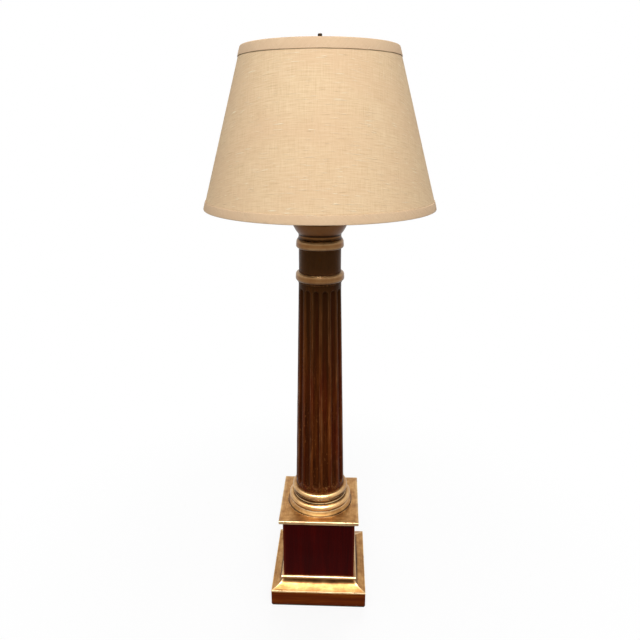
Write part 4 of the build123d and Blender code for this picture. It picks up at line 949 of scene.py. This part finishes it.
def band(name, edge, inward, width, look):
    """A band of bias cloth, folded over an edge of the shade and in over its wire ring."""
    hem = edge + inward * width
    ring_room = 6.4  # how deep the fold goes in over the wire ring
    fold_end = ring_room - 3.2
    section = []

    def add_point(way_in, depth):
        level = edge + inward * way_in
        section.append((skin_radius(level, depth), level))

    for t in np.linspace(0, 1, 15):
        add_point(width + (1.2 - width) * t, -band_bulge * (1 - (2 * t - 0.9) ** 2 * 0.9))
    for way_in, depth in (
        (0.35, 0.25), (0, 1.2), (0, ring_room - 1.2), (0.5, ring_room), (4.4, ring_room),
        (band_inside, fold_end), (band_inside, fold_end - band_thickness),
        (4.6, ring_room - band_thickness), (1.1, ring_room - 0.9), (0.75, 0.75),
        (width - 2.2, 0.72), (width, 0.74), (width + hem_round / 2, 0.35),
    ):
        add_point(way_in, depth)
    outline = Outline(*section[0]).to(*section[1:])
    loop = outline.loop(0.3, 1.3)
    columns = 420
    turns = np.linspace(-pi, pi, columns, endpoint=False)
    pucker = np.array([noise.noise(Vector((60 * cos(t), 60 * sin(t), edge))) for t in turns])
    sway = np.array([noise.noise(Vector((7 * cos(t), 7 * sin(t), 40 + edge))) for t in turns])
    lap = np.clip((turns - (pi - 0.07)) / 0.02, 0, 1)
    rows = []
    for out, level in loop:
        depth_share = np.clip((out - skin_radius(level, 3.0)) / 3.0, 0, 1)
        near_hem = np.clip(1 - abs(level - hem) / 4.0, 0, 1)
        radius = out + (0.10 * pucker + 0.45 * lap) * depth_share
        z = level + 0.35 * sway * near_hem
        rows.append(np.column_stack((radius * np.sin(turns), -radius * np.cos(turns), z)))
    grid = np.array(rows)
    across = across_of(loop)
    mean = skin_radius(edge, 0)
    x = np.tile(turns * mean, len(loop))
    y = np.repeat(across, columns)
    layers = {"weave": np.column_stack((x, y, np.zeros_like(x))) * MM}
    faces = quads(len(loop), columns, True, True)
    piece = make_piece(name + "_finish", grid.reshape(-1, 3), faces, look, "shade", [name], layers)


# ================ finial and bulb
def finial():
    """Turned finial: drum-shaped base, and a knob with a waist and a rounded tip."""
    foot, head, tip = low["finial_base"], high["finial_base"], high["finial_knob"]
    bore, radius, groove, groove_width = 3.3, 6.5, 6.1, 1.2
    middle = foot + 3.2
    outline = Outline(bore, foot).to((radius, foot), (radius, middle - groove_width / 2), (groove, middle))
    outline.to((radius, middle + groove_width / 2), (radius, head), (bore, head))
    ring, bronze = round_ring(96), looks["bronze"]
    swept_piece("finial_base", outline, ring, bronze, "finial", ease=0.9, step=0.8, wobble=0)
    knob, neck, waist, top, cap = 5.6, 2.9, 2.2, 3.4, 1.6
    belly, collar, bore_end = head + 8.0, head + 17.0, head + 5.0
    outline = Outline(bore, head).to((knob, head)).arc(knob, belly, 0.8, 12)
    outline.arc(neck, belly + 4.2, -0.5, 8).arc(waist, collar - 1.7, -0.2, 6)
    outline.to((waist, collar), (top, collar), (top, tip - cap)).corner(top - cap, tip, cap)
    outline.to((0.3, tip), (0.3, bore_end), (bore, bore_end))
    swept_piece("finial_knob", outline, ring, bronze, "finial", ease=0.3, step=0.6, wobble=0)


felt_pad()
base_mouldings()
plinth_panels()
square_plate("plinth_cap", pipe_bore, reach["plinth_cap"], 1.0, looks["gilt"], 0.9)
square_plate("abacus", pipe_bore, reach["abacus"], 1.5, looks["ebonised_wood"], 1.4)
column_base()
column_shaft()
astragal()
neck_drum()
capital()
# the linen carries a painted shadow line 1.1 mm wide along the edges of the bands
linen, linen_area = cone_sheet("shade_linen", looks["linen"], linen_depth, linen_thickness, painted_band_shadow=1.1)
cone_sheet("shade_liner", looks["shade_lining"], linen_depth + linen_thickness + 0.05, liner_thickness)
band("shade_top_trim", shade_high, -1, top_band, looks["linen_trim"])
band("shade_bottom_trim", shade_low, 1, bottom_band, looks["linen_trim"])
finial()


# ================ stage, light and camera
white = (1, 1, 1, 1)


def plain_nodes(owner):
    """The node tree of a world or a material, emptied."""
    owner.use_nodes = True
    owner.node_tree.nodes.clear()
    return Nodes(owner.node_tree)


def seen_directly(nodes):
    """1 for what the camera, a reflection or a glass sees, 0 for the light that falls on things."""
    rays = nodes.add("ShaderNodeLightPath").outputs
    seen = nodes.math("MAXIMUM", rays["Is Camera Ray"], rays["Is Glossy Ray"])
    return nodes.math("MAXIMUM", seen, rays["Is Transmission Ray"])


def white_world(ambient):
    """White to look at, and a plain even light on the lamp."""
    world = bpy.data.worlds.new("studio")
    nodes = plain_nodes(world)
    level = nodes.span(seen_directly(nodes), 0, 1, ambient, 1)
    background = nodes.add("ShaderNodeBackground", {"Color": white, "Strength": level}).outputs[0]
    nodes.add("ShaderNodeOutputWorld", {"Surface": background})
    bpy.context.scene.world = world


def floor(size, near, far):
    """A pale floor that keeps the lamp's shadow and turns white away from it."""
    mesh = bpy.data.meshes.new("floor")
    corners = [(-size, -size, 0), (size, -size, 0), (size, size, 0), (-size, size, 0)]
    mesh.from_pydata(corners, [], [(0, 1, 2, 3)])
    ground = add_object("floor", mesh)
    material = bpy.data.materials.new("floor")
    nodes = plain_nodes(material)
    place = nodes.add("ShaderNodeTexCoord").outputs["Object"]
    length = nodes.add("ShaderNodeVectorMath", {0: place}, operation="LENGTH").outputs["Value"]
    fade = {"Value": length, "From Min": near, "From Max": far}
    away = nodes.add("ShaderNodeMapRange", fade, interpolation_type="SMOOTHSTEP").outputs[0]
    least_glow, paint = 0.84, (0.86, 0.86, 0.86, 1)
    glow_share = nodes.add("ShaderNodeMix", {"Factor": away, "A": least_glow, "B": 1.0}).outputs["Result"]
    lit = nodes.add("ShaderNodeBsdfDiffuse", {"Color": paint}).outputs[0]
    glow = nodes.add("ShaderNodeEmission", {"Color": white, "Strength": seen_directly(nodes)}).outputs[0]
    blend = nodes.add("ShaderNodeMixShader", {"Fac": glow_share, 1: lit, 2: glow}).outputs[0]
    nodes.add("ShaderNodeOutputMaterial", {"Surface": blend})
    mesh.materials.append(material)


def soft_light(name, place, target, width, height, brightness, matt=True, gloss=True):
    """A rectangular studio light of an even brightness, aimed at a point. It can be kept to matt
    surfaces or to reflections."""
    lamp = bpy.data.lights.new(name, "AREA")
    lamp.shape = "RECTANGLE"
    lamp.size, lamp.size_y = width, height
    lamp.energy = brightness * pi * width * height
    light = add_object(name, lamp)
    light.location = place
    light.rotation_mode = "QUATERNION"
    light.rotation_quaternion = (Vector(target) - Vector(place)).to_track_quat("-Z", "Y")
    light.visible_diffuse = matt
    light.visible_glossy = gloss


def camera(place, pitch, focal):
    """The photograph's view: aimed at the lamp's axis, tipped down by pitch degrees."""
    lens = bpy.data.cameras.new("camera")
    sensor, frame_width = 36.0, 640  # the focal length is given in pixels of this frame
    lens.sensor_width = sensor
    lens.lens = focal / frame_width * sensor
    view = add_object("camera", lens)
    view.location = place
    view.rotation_euler = (radians(90 - pitch), 0, atan2(place[0], -place[1]))
    bpy.context.scene.camera = view


white_world(0.50)
floor(20.0, 0.25, 0.80)
soft_light("key", (0.12, -2.0, 2.60), (0, 0, 0.50), 1.60, 1.20, 9.9)
soft_light("shine", (-0.05, -0.72, 2.40), (0, 0, 0.20), 1.60, 0.80, 42.0, matt=False)
soft_light("back", (0.25, 2.30, 2.30), (0, 0, 0.50), 1.60, 1.20, 4.5, gloss=False)
camera((0.0372, -0.9779, 0.8750), 18.6, 589.0)
bpy.context.scene.view_settings.view_transform = "Standard"
